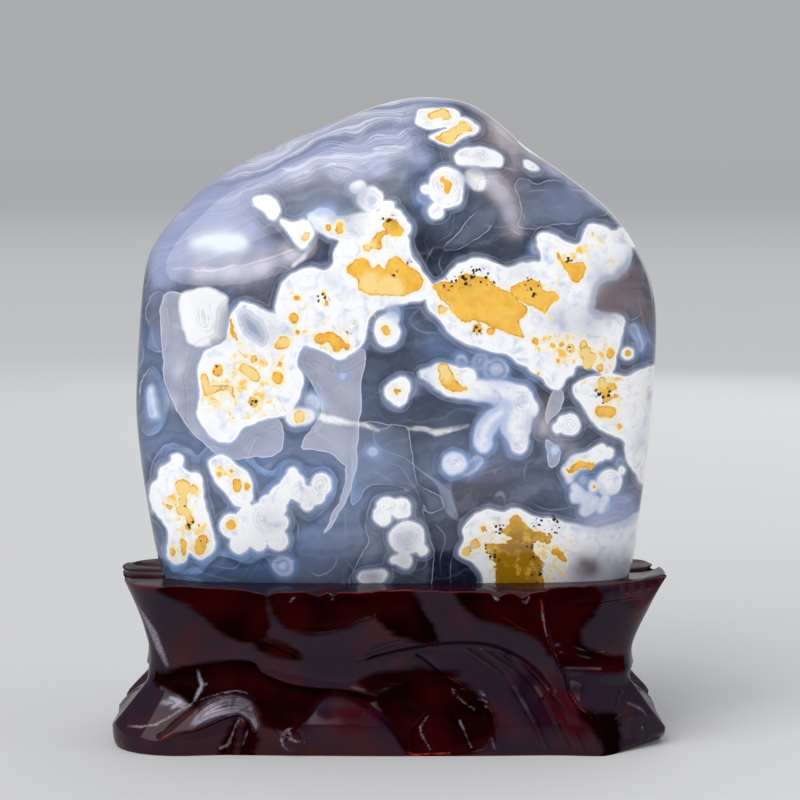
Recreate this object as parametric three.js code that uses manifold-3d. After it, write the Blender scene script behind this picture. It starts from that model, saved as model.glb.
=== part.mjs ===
// A polished agate boulder standing in the socket of a carved and lacquered wooden base.
// Millimetres, +Z up. The face of the stone looks towards -Y, and the origin lies under the
// middle of the base, on the surface that it stands on.
import * as THREE from "three";
import { mergeVertices } from "three/addons/utils/BufferGeometryUtils.js";
import Module from "manifold-3d";

const wasm = await Module();
wasm.setup();

// The stone: its face outline as [x, z], seen from the front, with the buried foot at the end.
const FACE_OUTLINE = [
  [-89.4, 62], [-95.4, 86], [-100.2, 122], [-100.2, 146], [-97, 184], [-91.4, 199],
  [-79.4, 213], [-66.6, 224], [-47.4, 234], [-23.4, 244], [-1.4, 252], [14.6, 254.5],
  [30.6, 252.4], [42.6, 245.4], [54.6, 234.8], [70.6, 223.7], [87.8, 209.8], [98.6, 194.7],
  [104.6, 180], [106.6, 162], [104.8, 126], [100.6, 89.7], [95.8, 63.3],
  [80, 47], [40, 40], [0, 38], [-45, 41], [-78, 48],
];
const STONE_CENTRE = { x: 3, z: 150 };
const FACE_DEPTH = 33; // from the middle of the stone to its face
const BACK_DEPTH = 33;
const FACE_FULLNESS = 2.7; // 2 is an ellipse, more is flatter with a quicker edge
const BACK_FULLNESS = 2.3;
const CROWN_LEAN = 5; // how far the crown leans back
const STONE_DETAIL = 12;

// The shallow polished hollow high on the left of the face.
const HOLLOW = { x: -58, z: 194, halfLength: 33, above: 20, below: 6, depth: 2.4 };

// What brings the middle of the whole over the origin.
const TO_MIDDLE = { x: 0.12, y: -0.29 };

// The seat of the stone in the base.
const SEAT_HEIGHT = 56.5;
const SEAT_GAP = 0.4;

// The base: its plan at the waist as [x, y], seen from above, from the middle of the front.
const WAIST_PLAN = [
  [0, -40.5], [35, -40], [67, -38.5], [86, -36], [95, -27.5], [96.5, -10], [96, 8], [94, 22],
  [85, 33], [66, 37.5], [30, 40], [0, 40.5], [-30, 40], [-66, 37.5], [-86, 33.5], [-95, 22],
  [-95.5, 4], [-95, -14], [-93, -28], [-84, -35.5], [-67, -38], [-35, -39.5],
];
const WAIST_HALF = 96;
const WAIST_DEPTH = 34; // a corner is fully at the front or the back this far from the middle
// How far the side stands out from the waist, as [reach, height], from the underside up.
const SIDE_PROFILE = [
  [8.4, 0], [9, 3], [9.2, 10], [8.4, 13.5], [4.6, 19.5], [1, 26], [0, 32], [0, 38],
  [1, 43], [3.2, 50], [6, 57], [9.4, 64.5],
];
const BASE_HEIGHT = 64.5;
// The share by which each corner stands out further, at the foot and at the rim.
const CORNER_FLARES = [
  { side: -1, back: false, foot: 0.62, rim: -0.05 },
  { side: 1, back: false, foot: 0.5, rim: 0.45 },
  { side: -1, back: true, foot: 0.3, rim: 0.45 },
  { side: 1, back: true, foot: 0, rim: 0.25 },
];
const CORNERS = { from: 0.62, to: 0.95 }; // shares of the half length that a corner covers
const FOOT_TO_RIM = { from: 18, to: 50 }; // heights between which the rim's share takes over
// How the rim rises and dips along the front, as [x, rise], with less of it at the back.
const RIM_WAVE = [
  [-104, -0.8], [-96, 0], [-78, 0.9], [-56, -0.1], [-46, -2], [-32, -0.7], [-24, -2.4],
  [-16, -0.8], [-3, -0.1], [8, 0.4], [32, -0.6], [42, -3], [46, -1.2], [52, -3.2],
  [62, 0.6], [84, 2], [106, 2.2],
];
const WAVE_HEIGHTS = { from: 50, to: 64 };
const BACK_WAVE = 0.3;
const TOP_LEVEL = 64; // the top beside the stone
const TOP_EDGE = 0.93; // where the rim has come down to it, as a share of the way out
const AROUND = 148;
const FRONT_CROWDING = 0.5; // the points lie closer together at the front by this share
const UP = 18;
const CARVING_STARTS = 3; // the carving comes in over this height above the table
const CARVING_ENDS = 58; // and fades from here up to the rim
const RIM_HOLDS = 0.55; // where this share of it is gone
const LEDGE_FALL = 2.2; // half the width over which a carved ledge falls
const HOLLOW_FALL = 3.5; // how quickly a hollow falls away inside its edge

const smoothstep = (low, high, v) => THREE.MathUtils.smoothstep(v, low, high);

// The stone's outline as a reach for each angle about its centre.
function polarOutline(points, centre) {
  const curve = new THREE.CatmullRomCurve3(
    points.map(([x, z]) => new THREE.Vector3(x - centre.x, 0, z - centre.z)),
    true,
    "catmullrom",
  );
  const samples = curve.getPoints(points.length * 24).slice(1);
  const polar = samples.map((p) => [Math.atan2(p.z, p.x), Math.hypot(p.x, p.z)]);
  polar.sort((a, b) => a[0] - b[0]);
  const first = polar[0];
  const last = polar[polar.length - 1];
  polar.unshift([last[0] - 2 * Math.PI, last[1]]);
  polar.push([first[0] + 2 * Math.PI, first[1]]);
  return (angle) => {
    const above = polar.findIndex(([a]) => a >= angle);
    const [a0, r0] = polar[Math.max(above - 1, 0)];
    const [a1, r1] = polar[above];
    return a1 > a0 ? r0 + ((r1 - r0) * (angle - a0)) / (a1 - a0) : r1;
  };
}

const faceReach = polarOutline(FACE_OUTLINE, STONE_CENTRE);

// How deep the polished hollow is at a place on the face. It is steep at its lower lip.
function hollowDepth(x, z) {
  const up = z - HOLLOW.z;
  const across = (x - HOLLOW.x) / HOLLOW.halfLength;
  const away = across ** 2 + (up / (up > 0 ? HOLLOW.above : HOLLOW.below)) ** 2;
  return away < 1 ? HOLLOW.depth * (1 - away) ** 1.5 : 0;
}

// The place on the stone's skin that a direction from its middle leads to.
function stonePoint(direction, grown) {
  const front = direction.y < 0;
  const fullness = front ? FACE_FULLNESS : BACK_FULLNESS;
  const out = Math.hypot(direction.x, direction.z) ** (2 / fullness);
  const angle = Math.atan2(direction.z, direction.x);
  const reach = (faceReach(angle) + grown) * out;
  const x = STONE_CENTRE.x + reach * Math.cos(angle);
  const z = STONE_CENTRE.z + reach * Math.sin(angle);
  const depth = (front ? FACE_DEPTH : BACK_DEPTH) + grown;
  let y = Math.sign(direction.y) * depth * Math.abs(direction.y) ** (2 / fullness);
  if (front) y += hollowDepth(x, z) * smoothstep(0.2, 0.6, -direction.y);
  y += CROWN_LEAN * smoothstep(170, 260, z);
  return new THREE.Vector3(x, y, z);
}

// A closed solid from a geometry whose repeated corners are merged.
function solidOf(geometry) {
  geometry.deleteAttribute("normal");
  geometry.deleteAttribute("uv");
  const merged = mergeVertices(geometry, 1e-4);
  return new wasm.Manifold(
    new wasm.Mesh({
      numProp: 3,
      vertProperties: merged.attributes.position.array,
      triVerts: new Uint32Array(merged.index.array),
    }),
  );
}

// The stone, cut flat at its foot. It is grown a little where it is used to carve the socket.
function stoneSolid(grown) {
  const ball = new THREE.IcosahedronGeometry(1, STONE_DETAIL);
  ball.deleteAttribute("normal");
  ball.deleteAttribute("uv");
  const skin = mergeVertices(ball, 1e-5);
  const position = skin.attributes.position;
  for (let i = 0; i < position.count; i++) {
    const direction = new THREE.Vector3().fromBufferAttribute(position, i).normalize();
    position.setXYZ(i, ...stonePoint(direction, grown));
  }
  const floor = new THREE.BoxGeometry(400, 200, 100);
  floor.translate(0, 0, SEAT_HEIGHT - grown - 50);
  return solidOf(skin).subtract(solidOf(floor));
}

// A carved line, smoothed through the points given. On a wall, across runs to the right.
function smoothLine(points, closed = false) {
  const curve = new THREE.CatmullRomCurve3(
    points.map(([across, z]) => new THREE.Vector3(across, z, 0)),
    closed,
    "catmullrom",
  );
  return curve.getPoints(points.length * 5);
}

// Distance to a carved line, positive on its left, and how far along it the nearest place is.
function nearestOnLine(line, across, z) {
  let best = { distance: Infinity, side: 1, along: 0 };
  for (let i = 0; i < line.length - 1; i++) {
    const [a, b] = [line[i], line[i + 1]];
    const [dx, dz] = [b.x - a.x, b.y - a.y];
    const [px, pz] = [across - a.x, z - a.y];
    const t = THREE.MathUtils.clamp((px * dx + pz * dz) / (dx * dx + dz * dz), 0, 1);
    const distance = Math.hypot(px - t * dx, pz - t * dz);
    if (distance < best.distance) {
      const along = (i + t) / (line.length - 1);
      best = { distance, side: Math.sign(dx * pz - dz * px) || 1, along };
    }
  }
  return best;
}

// Whether a place lies inside a closed line.
function isInside(line, across, z) {
  let inside = false;
  for (let i = 0; i < line.length - 1; i++) {
    const [a, b] = [line[i], line[i + 1]];
    const crosses = a.y > z !== b.y > z;
    if (crosses && across < a.x + ((b.x - a.x) * (z - a.y)) / (b.y - a.y)) inside = !inside;
  }
  return inside;
}

// A ledge: the wall falls away on the right of the line. A share of the step, the lift, stands
// out on its left.
const ledge = (points, height, width, lift = 0.1) => {
  const line = smoothLine(points);
  return (across, z) => {
    const { distance, side, along } = nearestOnLine(line, across, z);
    const fade = smoothstep(0, 0.15, along) * smoothstep(0, 0.1, 1 - along);
    const step = 0.5 * Math.tanh((side * distance) / LEDGE_FALL) - 0.5 + lift;
    return height * step * Math.exp(-distance / width) * fade;
  };
};

// A hollow cut with a gouge: the wall falls away inside the closed outline.
const hollow = (outline, depth, fall = HOLLOW_FALL) => {
  const edge = smoothLine(outline, true);
  return (across, z) => {
    if (!isInside(edge, across, z)) return 0;
    return -depth * (1 - Math.exp(-nearestOnLine(edge, across, z).distance / fall));
  };
};

// An oval outline that leans by an angle.
const oval = (across, z, halfLength, halfWidth, lean = 0) => {
  const middle = new THREE.Vector2(across, z);
  const turn = THREE.MathUtils.degToRad(lean);
  return new THREE.EllipseCurve(across, z, halfLength, halfWidth)
    .getPoints(12)
    .slice(1)
    .map((p) => p.rotateAround(middle, turn).toArray());
};

const mound = (across, z, halfLength, halfWidth, height, lean = 0) => {
  const turn = THREE.MathUtils.degToRad(lean);
  return (h, v) => {
    const along = Math.cos(turn) * (h - across) + Math.sin(turn) * (v - z);
    const over = Math.cos(turn) * (v - z) - Math.sin(turn) * (h - across);
    return height * Math.exp(-((along / halfLength) ** 2) - (over / halfWidth) ** 2);
  };
};

// The carving of each wall, seen from outside with across running to the right.
const CARVING = {
  front: [
    // the hollows under the rim, from the left
    hollow(
      [[-89, 64], [-77, 58.7], [-66.7, 49], [-56.4, 43.8], [-49, 45], [-46.5, 50], [-47.5, 56],
       [-48, 62.6], [-62, 70], [-80, 69]],
      2, 6,
    ),
    hollow(
      [[-45.8, 63], [-44.5, 57], [-41.3, 51.6], [-36.2, 48.4], [-26.5, 47.4], [-19, 48.8],
       [-11.7, 52], [-6, 54], [-3.7, 57.5], [-5.4, 63], [-13, 68], [-32, 68], [-43, 67]],
      4.5,
    ),
    hollow(
      [[-6.3, 60.4], [-4, 53], [1.9, 47.6], [10.5, 44], [19, 43.6], [17.2, 49.5], [13.2, 56.4],
       [9.5, 63.6], [2, 68], [-5, 67]],
      4,
    ),
    hollow(
      [[26.4, 64], [30.4, 57.5], [35.7, 53], [44.6, 50.7], [52, 47.7], [58.8, 44], [63, 38],
       [62, 47], [60.8, 55], [60.2, 63.4], [48, 69], [31, 69]],
      4,
    ),
    // the long ridge on the right, and the hollow beyond it
    ledge(
      [[80, 6], [78.8, 14], [74.4, 17], [70.4, 23], [68.7, 29.5], [65, 37], [62.3, 44], [61, 54],
       [60.5, 66]],
      4, 9,
    ),
    hollow(
      [[61.2, 63], [62.4, 50.5], [65, 39.7], [68.4, 33], [77.8, 31], [93, 31], [96.6, 34],
       [85.4, 37], [76.5, 40.5], [74.5, 47], [79, 54], [82.3, 62], [75, 69], [64, 69]],
      3.6,
    ),
    // the wave across the middle, and the sunk field below it
    ledge(
      [[-12.5, 35], [-2.8, 38.2], [10.5, 41], [25.4, 42.8], [38.8, 42], [49, 38], [56.7, 32.7],
       [62.7, 26], [65, 23]],
      3, 7,
    ),
    ledge([[9, 39.7], [15, 35], [24, 27.7], [31.3, 23.5], [39, 15], [42.4, 1]], 3.5, 8),
    hollow(
      [[-5, 21.5], [1.6, 25.6], [12, 29], [25.4, 27.4], [34, 23.5], [40, 16.7], [40.7, 9.8],
       [37, 3], [26.8, 0], [15, -1], [8.3, 1], [3, 10], [-1.3, 15.5]],
      3.4, 5,
    ),
    mound(16, 7, 5, 8, 2.4, 15),
    // the swelling to the left of the wave, and the valley under its lower edge
    mound(-20, 40, 34, 8, 2.5),
    ledge(
      [[-67, 35], [-53.5, 35], [-48.7, 30.4], [-38.6, 26.4], [-26.6, 24.4], [-14.7, 23.5],
       [-2, 21]],
      4.5, 8, 0.6,
    ),
    hollow(
      [[-97, 30], [-87, 29.5], [-79, 32.5], [-67, 34.7], [-53.5, 35], [-48.7, 30.4],
       [-38.6, 26.4], [-26.6, 24.4], [-14.7, 23.5], [-2, 21.4], [-8.4, 19.6], [-19, 23.4],
       [-26.6, 21.3], [-31.7, 14.7], [-34.6, 10.4], [-41, 10], [-48, 12.5], [-50, 18],
       [-52.6, 22.2], [-59.4, 24.2], [-71.3, 21.6], [-75.8, 19], [-81.3, 22.5], [-94, 27]],
      3,
    ),
    // the hill in the middle of the foot, and the curled knob beside it
    ledge(
      [[9, -2], [7, 2], [0.5, 11.4], [-8.4, 18.7], [-19.2, 23], [-26.6, 20.8], [-32.4, 12.7]],
      4.4, 8,
    ),
    mound(-36.8, 6, 4.2, 4.2, 3.6),
    // the leaf on the left of the foot, and the toe under it
    ledge(
      [[-51, 16], [-51.5, 20.6], [-56.4, 23.2], [-64, 23.5], [-71.3, 21.3], [-77.3, 17.2],
       [-84.7, 11.2], [-90, 5]],
      2.8, 5, 0.5,
    ),
    ledge(
      [[-91, 4.5], [-81.7, 8.5], [-72.5, 10.6], [-65, 13.5], [-58.4, 15.4], [-55, 13.9],
       [-51, 10]],
      3.4, 6, 0.4,
    ),
    // the crease in the right foot
    ledge([[89.8, 0], [89.5, 11], [91.2, 18], [94, 24]], 2.4, 6),
  ],
  back: [
    ledge([[-80, 8], [-66, 26], [-44, 40], [-16, 46], [14, 42], [38, 32]], 5, 11, 0.3),
    ledge([[-30, 3], [-8, 18], [20, 26], [52, 24], [80, 14]], 5, 11, 0.3),
    hollow(oval(-56, 50, 26, 9, 24), 3.6),
    hollow(oval(4, 56, 22, 8), 3.4),
    hollow(oval(58, 46, 24, 12, -20), 3.6),
    hollow(oval(-44, 14, 24, 10, 18), 3.4),
    mound(24, 9, 22, 8, 3.2),
    ledge([[66, 2], [72, 18], [70, 38], [62, 56]], 4.5, 10, 0.3),
  ],
  left: [
    ledge([[-26, 6], [-14, 20], [2, 28], [20, 30]], 4, 9, 0.3),
    hollow(oval(6, 46, 18, 11, 10), 2.6),
    // the notches between the lobes of the ear
    hollow(oval(13, 60, 5, 15, 8), 6),
    hollow(oval(-9, 60, 6, 13, -8), 5),
    mound(-12, 10, 12, 7, 2.4, 20),
  ],
  right: [
    ledge([[-22, 30], [-2, 27], [14, 18], [24, 4]], 4, 9, 0.3),
    hollow(oval(-6, 46, 18, 11, -10), 2.6),
    hollow(oval(9, 60, 8, 14, 6), 7),
    hollow(oval(-20, 60, 4, 10, -8), 3),
    mound(14, 10, 12, 7, 2.4, -20),
  ],
};

// The flats that the knife left: the way that each faces, in degrees round from +X and up, how
// far it lies from the middle of the base, and the heights that it keeps above or below.
const KNIFE_CUTS = [
  { facing: -50, up: 0, reach: 91 },
  { facing: -130, up: 0, reach: 97 },
  { facing: 50, up: 5, reach: 90 },
  { facing: 131, up: 5, reach: 93 },
  { facing: -95, up: -13, reach: 42.5, above: 34 },
  { facing: -72, up: -14, reach: 60, above: 34 },
  { facing: -105, up: 34, reach: 43.4, below: 27 },
  { facing: -75, up: 36, reach: 42.2, below: 25 },
  { facing: -35, up: -54, reach: 83.5, below: 12 },
];
const CUT_FADE = 3; // a flat comes in over this height to each side of its limit

const outwards = (x, y) => ({
  front: smoothstep(0.45, 0.85, -y),
  back: smoothstep(0.45, 0.85, y),
  right: smoothstep(0.6, 0.9, x),
  left: smoothstep(0.6, 0.9, -x),
});

// How far the carving moves a place on the side, outwards.
function carved(point, normal) {
  const weights = outwards(normal.x, normal.y);
  const acrossOf = { front: point.x, back: -point.x, right: point.y, left: -point.y };
  let moved = 0;
  for (const [wall, cuts] of Object.entries(CARVING)) {
    if (weights[wall] === 0) continue;
    for (const cut of cuts) moved += weights[wall] * cut(acrossOf[wall], point.z);
  }
  const nearRim = smoothstep(CARVING_ENDS, BASE_HEIGHT, point.z);
  return moved * smoothstep(0, CARVING_STARTS, point.z) * (1 - RIM_HOLDS * nearRim);
}

function knifeCut(point) {
  const { z } = point;
  for (const { facing, up, reach, above, below } of KNIFE_CUTS) {
    const turn = THREE.MathUtils.degToRad(facing);
    const tilt = THREE.MathUtils.degToRad(up);
    const flat = Math.cos(tilt);
    const normal = new THREE.Vector3(flat * Math.cos(turn), flat * Math.sin(turn), Math.sin(tilt));
    const middle = new THREE.Vector3(0, 0, BASE_HEIGHT / 2);
    let beyond = Math.max(0, point.clone().sub(middle).dot(normal) - reach);
    if (above !== undefined) beyond *= smoothstep(above - CUT_FADE, above + CUT_FADE, z);
    if (below !== undefined) beyond *= 1 - smoothstep(below - CUT_FADE, below + CUT_FADE, z);
    const level = new THREE.Vector3(normal.x, normal.y, 0).normalize();
    point.addScaledVector(level, -beyond / flat);
  }
  return point;
}

// The share by which the wall stands out further near a corner.
function flare(waist, z) {
  const back = smoothstep(-WAIST_DEPTH, WAIST_DEPTH, waist.y);
  const upwards = smoothstep(FOOT_TO_RIM.from, FOOT_TO_RIM.to, z);
  let total = 0;
  for (const corner of CORNER_FLARES) {
    const end = smoothstep(CORNERS.from, CORNERS.to, (corner.side * waist.x) / WAIST_HALF);
    const share = THREE.MathUtils.lerp(corner.foot, corner.rim, upwards);
    total += end * (corner.back ? back : 1 - back) * share;
  }
  return total;
}

// How much the rim rises at a place along the base.
function rimRise(x) {
  const next = Math.max(1, RIM_WAVE.findIndex(([at]) => at > x));
  const [[x0, rise0], [x1, rise1]] = [RIM_WAVE[next - 1], RIM_WAVE[next]];
  return THREE.MathUtils.mapLinear(THREE.MathUtils.clamp(x, x0, x1), x0, x1, rise0, rise1);
}

// The base as rings of points from the middle of its underside, up its side and over its top.
function baseRings() {
  const plan = new THREE.CatmullRomCurve3(
    WAIST_PLAN.map(([x, y]) => new THREE.Vector3(x, y, 0)),
    true,
    "catmullrom",
  );
  const profile = new THREE.SplineCurve(
    SIDE_PROFILE.map(([reach, z]) => new THREE.Vector2(reach, z)),
  ).getPoints(UP);
  const side = profile.map(() => []);
  for (let i = 0; i < AROUND; i++) {
    const turn = (2 * Math.PI * i) / AROUND;
    const share = (turn - FRONT_CROWDING * Math.sin(turn)) / (2 * Math.PI);
    const waist = plan.getPointAt(share);
    const tangent = plan.getTangentAt(share);
    const normal = new THREE.Vector3(tangent.y, -tangent.x, 0);
    const wave = rimRise(waist.x) * (waist.y < 0 ? 1 : BACK_WAVE);
    profile.forEach(({ x: reach, y: z }, j) => {
      const out = reach * (1 + flare(waist, z));
      const lifted = z + wave * smoothstep(WAVE_HEIGHTS.from, WAVE_HEIGHTS.to, z);
      const point = knifeCut(waist.clone().addScaledVector(normal, out).setZ(lifted));
      side[j].push(j > 0 ? point.addScaledVector(normal, carved(point, normal)) : point);
    });
  }
  const rimRing = side[side.length - 1];
  const inwards = (share) =>
    rimRing.map((p) => new THREE.Vector3(p.x * share, p.y * share, TOP_LEVEL));
  const middle = (z) => rimRing.map(() => new THREE.Vector3(0, 0, z));
  return [middle(0), ...side, inwards(TOP_EDGE), middle(TOP_LEVEL)];
}

// One closed skin over rings of points, in the way that a lathe joins its profile round.
function skinOver(rings) {
  const skin = new THREE.LatheGeometry(
    rings.map((_, j) => new THREE.Vector2(1, j)),
    AROUND,
  );
  for (let i = 0; i <= AROUND; i++) {
    rings.forEach((ring, j) => {
      const { x, y, z } = ring[i % AROUND];
      skin.attributes.position.setXYZ(i * rings.length + j, x, y, z);
    });
  }
  return skin;
}

function meshOf(name, solid, look) {
  const { numProp, vertProperties, triVerts } = solid.getMesh();
  const geometry = new THREE.BufferGeometry();
  const corners = new THREE.InterleavedBuffer(vertProperties, numProp);
  geometry.setAttribute("position", new THREE.InterleavedBufferAttribute(corners, 3, 0));
  geometry.setIndex(new THREE.BufferAttribute(triVerts, 1));
  geometry.computeVertexNormals();
  const mesh = new THREE.Mesh(geometry, new THREE.MeshStandardMaterial(look));
  mesh.name = name;
  return mesh;
}

const agate = meshOf("agate", stoneSolid(0), {
  color: 0x7d8699,
  roughness: 0.12,
  metalness: 0,
});

const stand = meshOf(
  "carved_stand",
  solidOf(skinOver(baseRings())).subtract(stoneSolid(SEAT_GAP)),
  { color: 0x2a0508, roughness: 0.15, metalness: 0 },
);

const group = new THREE.Group();
group.add(agate, stand);
group.position.set(TO_MIDDLE.x, TO_MIDDLE.y, 0);

export default group;
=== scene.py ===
import math

import bmesh
import bpy
import numpy as np
from mathutils import Matrix, Vector, noise
from mathutils.bvhtree import BVHTree


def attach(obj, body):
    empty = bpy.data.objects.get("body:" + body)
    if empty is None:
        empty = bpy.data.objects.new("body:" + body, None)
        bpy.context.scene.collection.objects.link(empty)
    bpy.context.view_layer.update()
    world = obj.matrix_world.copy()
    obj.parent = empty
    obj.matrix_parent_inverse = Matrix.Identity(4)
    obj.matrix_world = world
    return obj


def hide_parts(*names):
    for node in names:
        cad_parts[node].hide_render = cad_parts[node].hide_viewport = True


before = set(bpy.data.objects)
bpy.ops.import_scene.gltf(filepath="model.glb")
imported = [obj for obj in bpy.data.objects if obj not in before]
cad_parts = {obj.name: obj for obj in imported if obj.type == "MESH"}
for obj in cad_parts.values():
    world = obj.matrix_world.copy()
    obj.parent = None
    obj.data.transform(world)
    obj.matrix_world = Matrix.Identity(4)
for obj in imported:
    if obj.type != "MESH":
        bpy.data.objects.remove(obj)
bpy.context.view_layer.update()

bl_info = {
    "name": "Agate on a carved base",
    "version": (1, 0, 0),
    "blender": (4, 5, 0),
    "location": "View3D > Sidebar > Agate",
    "description": "Builds a polished agate boulder and the carved, lacquered base that it stands in",
    "category": "Object",
}

# Shapes are worked out in millimetres and turned into metres when a piece is finished.
MM = 0.001
TO_MIDDLE = np.array([0.12, -0.29, 0.0])  # brings the middle of the whole over the origin

# The photograph's view. A place in the pattern is given by the pixel that shows it.
PICTURE_SIDE = 800
FOCAL_PIXELS = 2750.0
SENSOR_WIDTH = 36.0
VIEW_DISTANCE = 1100.0
VIEW_ELEVATION = math.radians(5)
VIEW_TARGET = np.array([4.6, 0.0, 134.0])
PIXEL = 0.4  # the size of a pixel at the middle of the stone

# The stone: its face outline as [x, z], seen from the front, with the buried foot at the end.
FACE_OUTLINE = [
    (-89.4, 62), (-95.4, 86), (-100.2, 122), (-100.2, 146), (-97, 184), (-91.4, 199), (-79.4, 213),
    (-66.6, 224), (-47.4, 234), (-23.4, 244), (-1.4, 252), (14.6, 254.5), (30.6, 252.4), (42.6, 245.4),
    (54.6, 234.8), (70.6, 223.7), (87.8, 209.8), (98.6, 194.7), (104.6, 180), (106.6, 162), (104.8, 126),
    (100.6, 89.7), (95.8, 63.3), (80, 47), (40, 40), (0, 38), (-45, 41), (-78, 48),
]
STONE_CENTRE = (3.0, 150.0)
SEAT_HEIGHT = 56.5

# The base: its plan at the waist as [x, y], seen from above, from the middle of the front.
WAIST_PLAN = [
    (0, -40.5), (35, -40), (67, -38.5), (86, -36), (95, -27.5), (96.5, -10), (96, 8), (94, 22), (85, 33),
    (66, 37.5), (30, 40), (0, 40.5), (-30, 40), (-66, 37.5), (-86, 33.5), (-95, 22), (-95.5, 4),
    (-95, -14), (-93, -28), (-84, -35.5), (-67, -38), (-35, -39.5),
]
WAIST_HALF = 96.0
# How far the side stands out from the waist, as [reach, height], from the underside up.
SIDE_PROFILE = [
    (8.4, 0), (9.0, 3), (9.2, 10), (8.4, 13.5), (4.6, 19.5), (1.0, 26), (0, 32), (0, 38), (1.0, 43),
    (3.2, 50), (6.0, 57), (9.4, 64.5),
]
BASE_HEIGHT = 64.5
# How much further the wall stands out at each corner, as shares at the foot and at the rim.
CORNER_FLARES = {
    (-1, -1): (0.62, -0.05), (1, -1): (0.5, 0.45), (-1, 1): (0.3, 0.45), (1, 1): (0.0, 0.25),
}
FRONT_CROWDING = 0.6  # how far the points round the base are drawn towards its front, from 0 to 1
SEAT_GAP = 0.3  # between the stone and its socket
TOP_LEVEL = 64.0  # the top beside the stone
HOLLOW_REACH = 20.0  # the furthest that a place can lie inside a hollow
CUT_STEPS = 6  # pieces of a cut's line between two of its points

STONE_DIVISIONS = (6, 7)
FINER_FRONT = -0.22  # where y on the ball that becomes the stone is less, it is divided once more
BASE_POINTS = ((340, 70), (680, 128))  # round the base, and up its side

# The polished hollow high on the left of the face: its crisp lower lip as [x, z], its middle and
# half its width, and the heights over which it fades out above the lip and ends below it.
FACE_HOLLOW_LIP = [(-88, 188), (-70, 187.4), (-55, 188.2), (-41, 192), (-30, 197.5)]
FACE_HOLLOW_MIDDLE = -59.0
FACE_HOLLOW_HALF = 31.0
FACE_HOLLOW_FADE = 13.0
FACE_HOLLOW_END = 5.4
CROWN_LEAN = 5.0  # how far the crown leans back

WANDER_SEED = 5  # of the noise by which the edges of the markings wander

# The stage, in metres. The floor's colour changes between two distances from the object.
FLOOR_RADIUS = 400.0
FLOOR_NEAR = (0.74, 0.74, 0.75)
FLOOR_FAR = (0.5375, 0.543, 0.559)
FLOOR_CHANGE = (0.6, 14.0)
ROOM_COLOUR = (0.95, 0.97, 1.0, 1)
ROOM_LIGHT = 0.42
PANEL_RAYS = Vector((0.50, 0.62, -0.62))
PANEL_WIDTH = math.radians(56)
PANEL_LIGHT = 1.7
# The lamps, as (name, place, side of the square, power).
LAMPS = [
    ("key", (-0.62, -1.25, 0.86), 0.26, 2.0),
    ("side", (1.3, -0.45, 0.45), 0.5, 2.2),
    ("top", (-0.25, -1.17, 1.15), 0.2, 1.2),
    ("back", (0.5, 1.4, 0.9), 1.5, 4.0),
]
LAMP_AIM = Vector((0, 0, 0.13))


# Curves and distances


def smooth_curve(points, steps, closed):
    """Points along a Catmull-Rom curve through the given ones."""
    given = np.array(points, float)
    if closed:
        ring = np.vstack([given[-1], given, given[:2]])
    else:
        ring = np.vstack([2 * given[0] - given[1], given, 2 * given[-1] - given[-2]])
    t = (np.arange(steps) / steps)[:, None]
    spans = []
    for a, b, c, d in zip(ring, ring[1:], ring[2:], ring[3:]):
        cubic = (2 * b + (c - a) * t + (2 * a - 5 * b + 4 * c - d) * t**2
                 + (3 * b - a - 3 * c + d) * t**3)
        spans.append(cubic / 2)
    if not closed:
        spans.append(given[-1:])
    return np.vstack(spans)


def smoothstep(low, high, value):
    t = np.clip((value - low) / (high - low), 0, 1)
    return t * t * (3 - 2 * t)


def distance_to_line(places, line):
    """Distance from each place to a line, the side it lies on, and how far along it is."""
    best = np.full(len(places), 1e9)
    side = np.ones(len(places))
    along = np.zeros(len(places))
    for i, (a, b) in enumerate(zip(line, line[1:])):
        run = b - a
        off = places - a
        t = np.clip(off @ run / (run @ run), 0, 1)
        gap = off - t[:, None] * run
        distance = np.hypot(gap[:, 0], gap[:, 1])
        nearer = distance < best
        best = np.where(nearer, distance, best)
        cross = run[0] * off[:, 1] - run[1] * off[:, 0]
        side = np.where(nearer, np.where(cross >= 0, 1.0, -1.0), side)
        along = np.where(nearer, (i + t) / (len(line) - 1), along)
    return best, side, along


def distance_to_outline(places, outline, reach):
    """Signed distance from each place to a closed smooth outline, negative inside."""
    corners = smooth_curve(outline, 4, closed=True)
    result = np.full(len(places), float(reach))
    low, high = corners.min(0) - reach, corners.max(0) + reach
    near = np.where(np.all((places > low) & (places < high), axis=1))[0]
    spot = places[near]
    best = np.full(len(near), float(reach))
    inside = np.zeros(len(near), bool)
    for a, b in zip(corners, np.roll(corners, -1, axis=0)):
        run = b - a
        off = spot - a
        t = np.clip(off @ run / max(run @ run, 1e-9), 0, 1)
        gap = off - t[:, None] * run
        best = np.minimum(best, np.hypot(gap[:, 0], gap[:, 1]))
        crosses = (a[1] > spot[:, 1]) != (b[1] > spot[:, 1])
        rise = b[1] - a[1] if abs(b[1] - a[1]) > 1e-9 else 1e-9
        inside ^= crosses & (spot[:, 0] < a[0] + run[0] * (spot[:, 1] - a[1]) / rise)
    result[near] = np.where(inside, -best, best)
    return result


# The view


def view_axes():
    forward = np.array([0, math.cos(VIEW_ELEVATION), -math.sin(VIEW_ELEVATION)])
    up = np.array([0, math.sin(VIEW_ELEVATION), math.cos(VIEW_ELEVATION)])
    return forward, up


def eye_place():
    forward, _ = view_axes()
    return VIEW_TARGET - VIEW_DISTANCE * forward


def to_pixels(points):
    """The pixel of the photograph that shows each point."""
    forward, up = view_axes()
    off = points - eye_place()
    depth = off @ forward
    x = PICTURE_SIDE / 2 + FOCAL_PIXELS * off[:, 0] / depth
    y = PICTURE_SIDE / 2 - FOCAL_PIXELS * (off @ up) / depth
    return np.column_stack([x, y])


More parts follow.
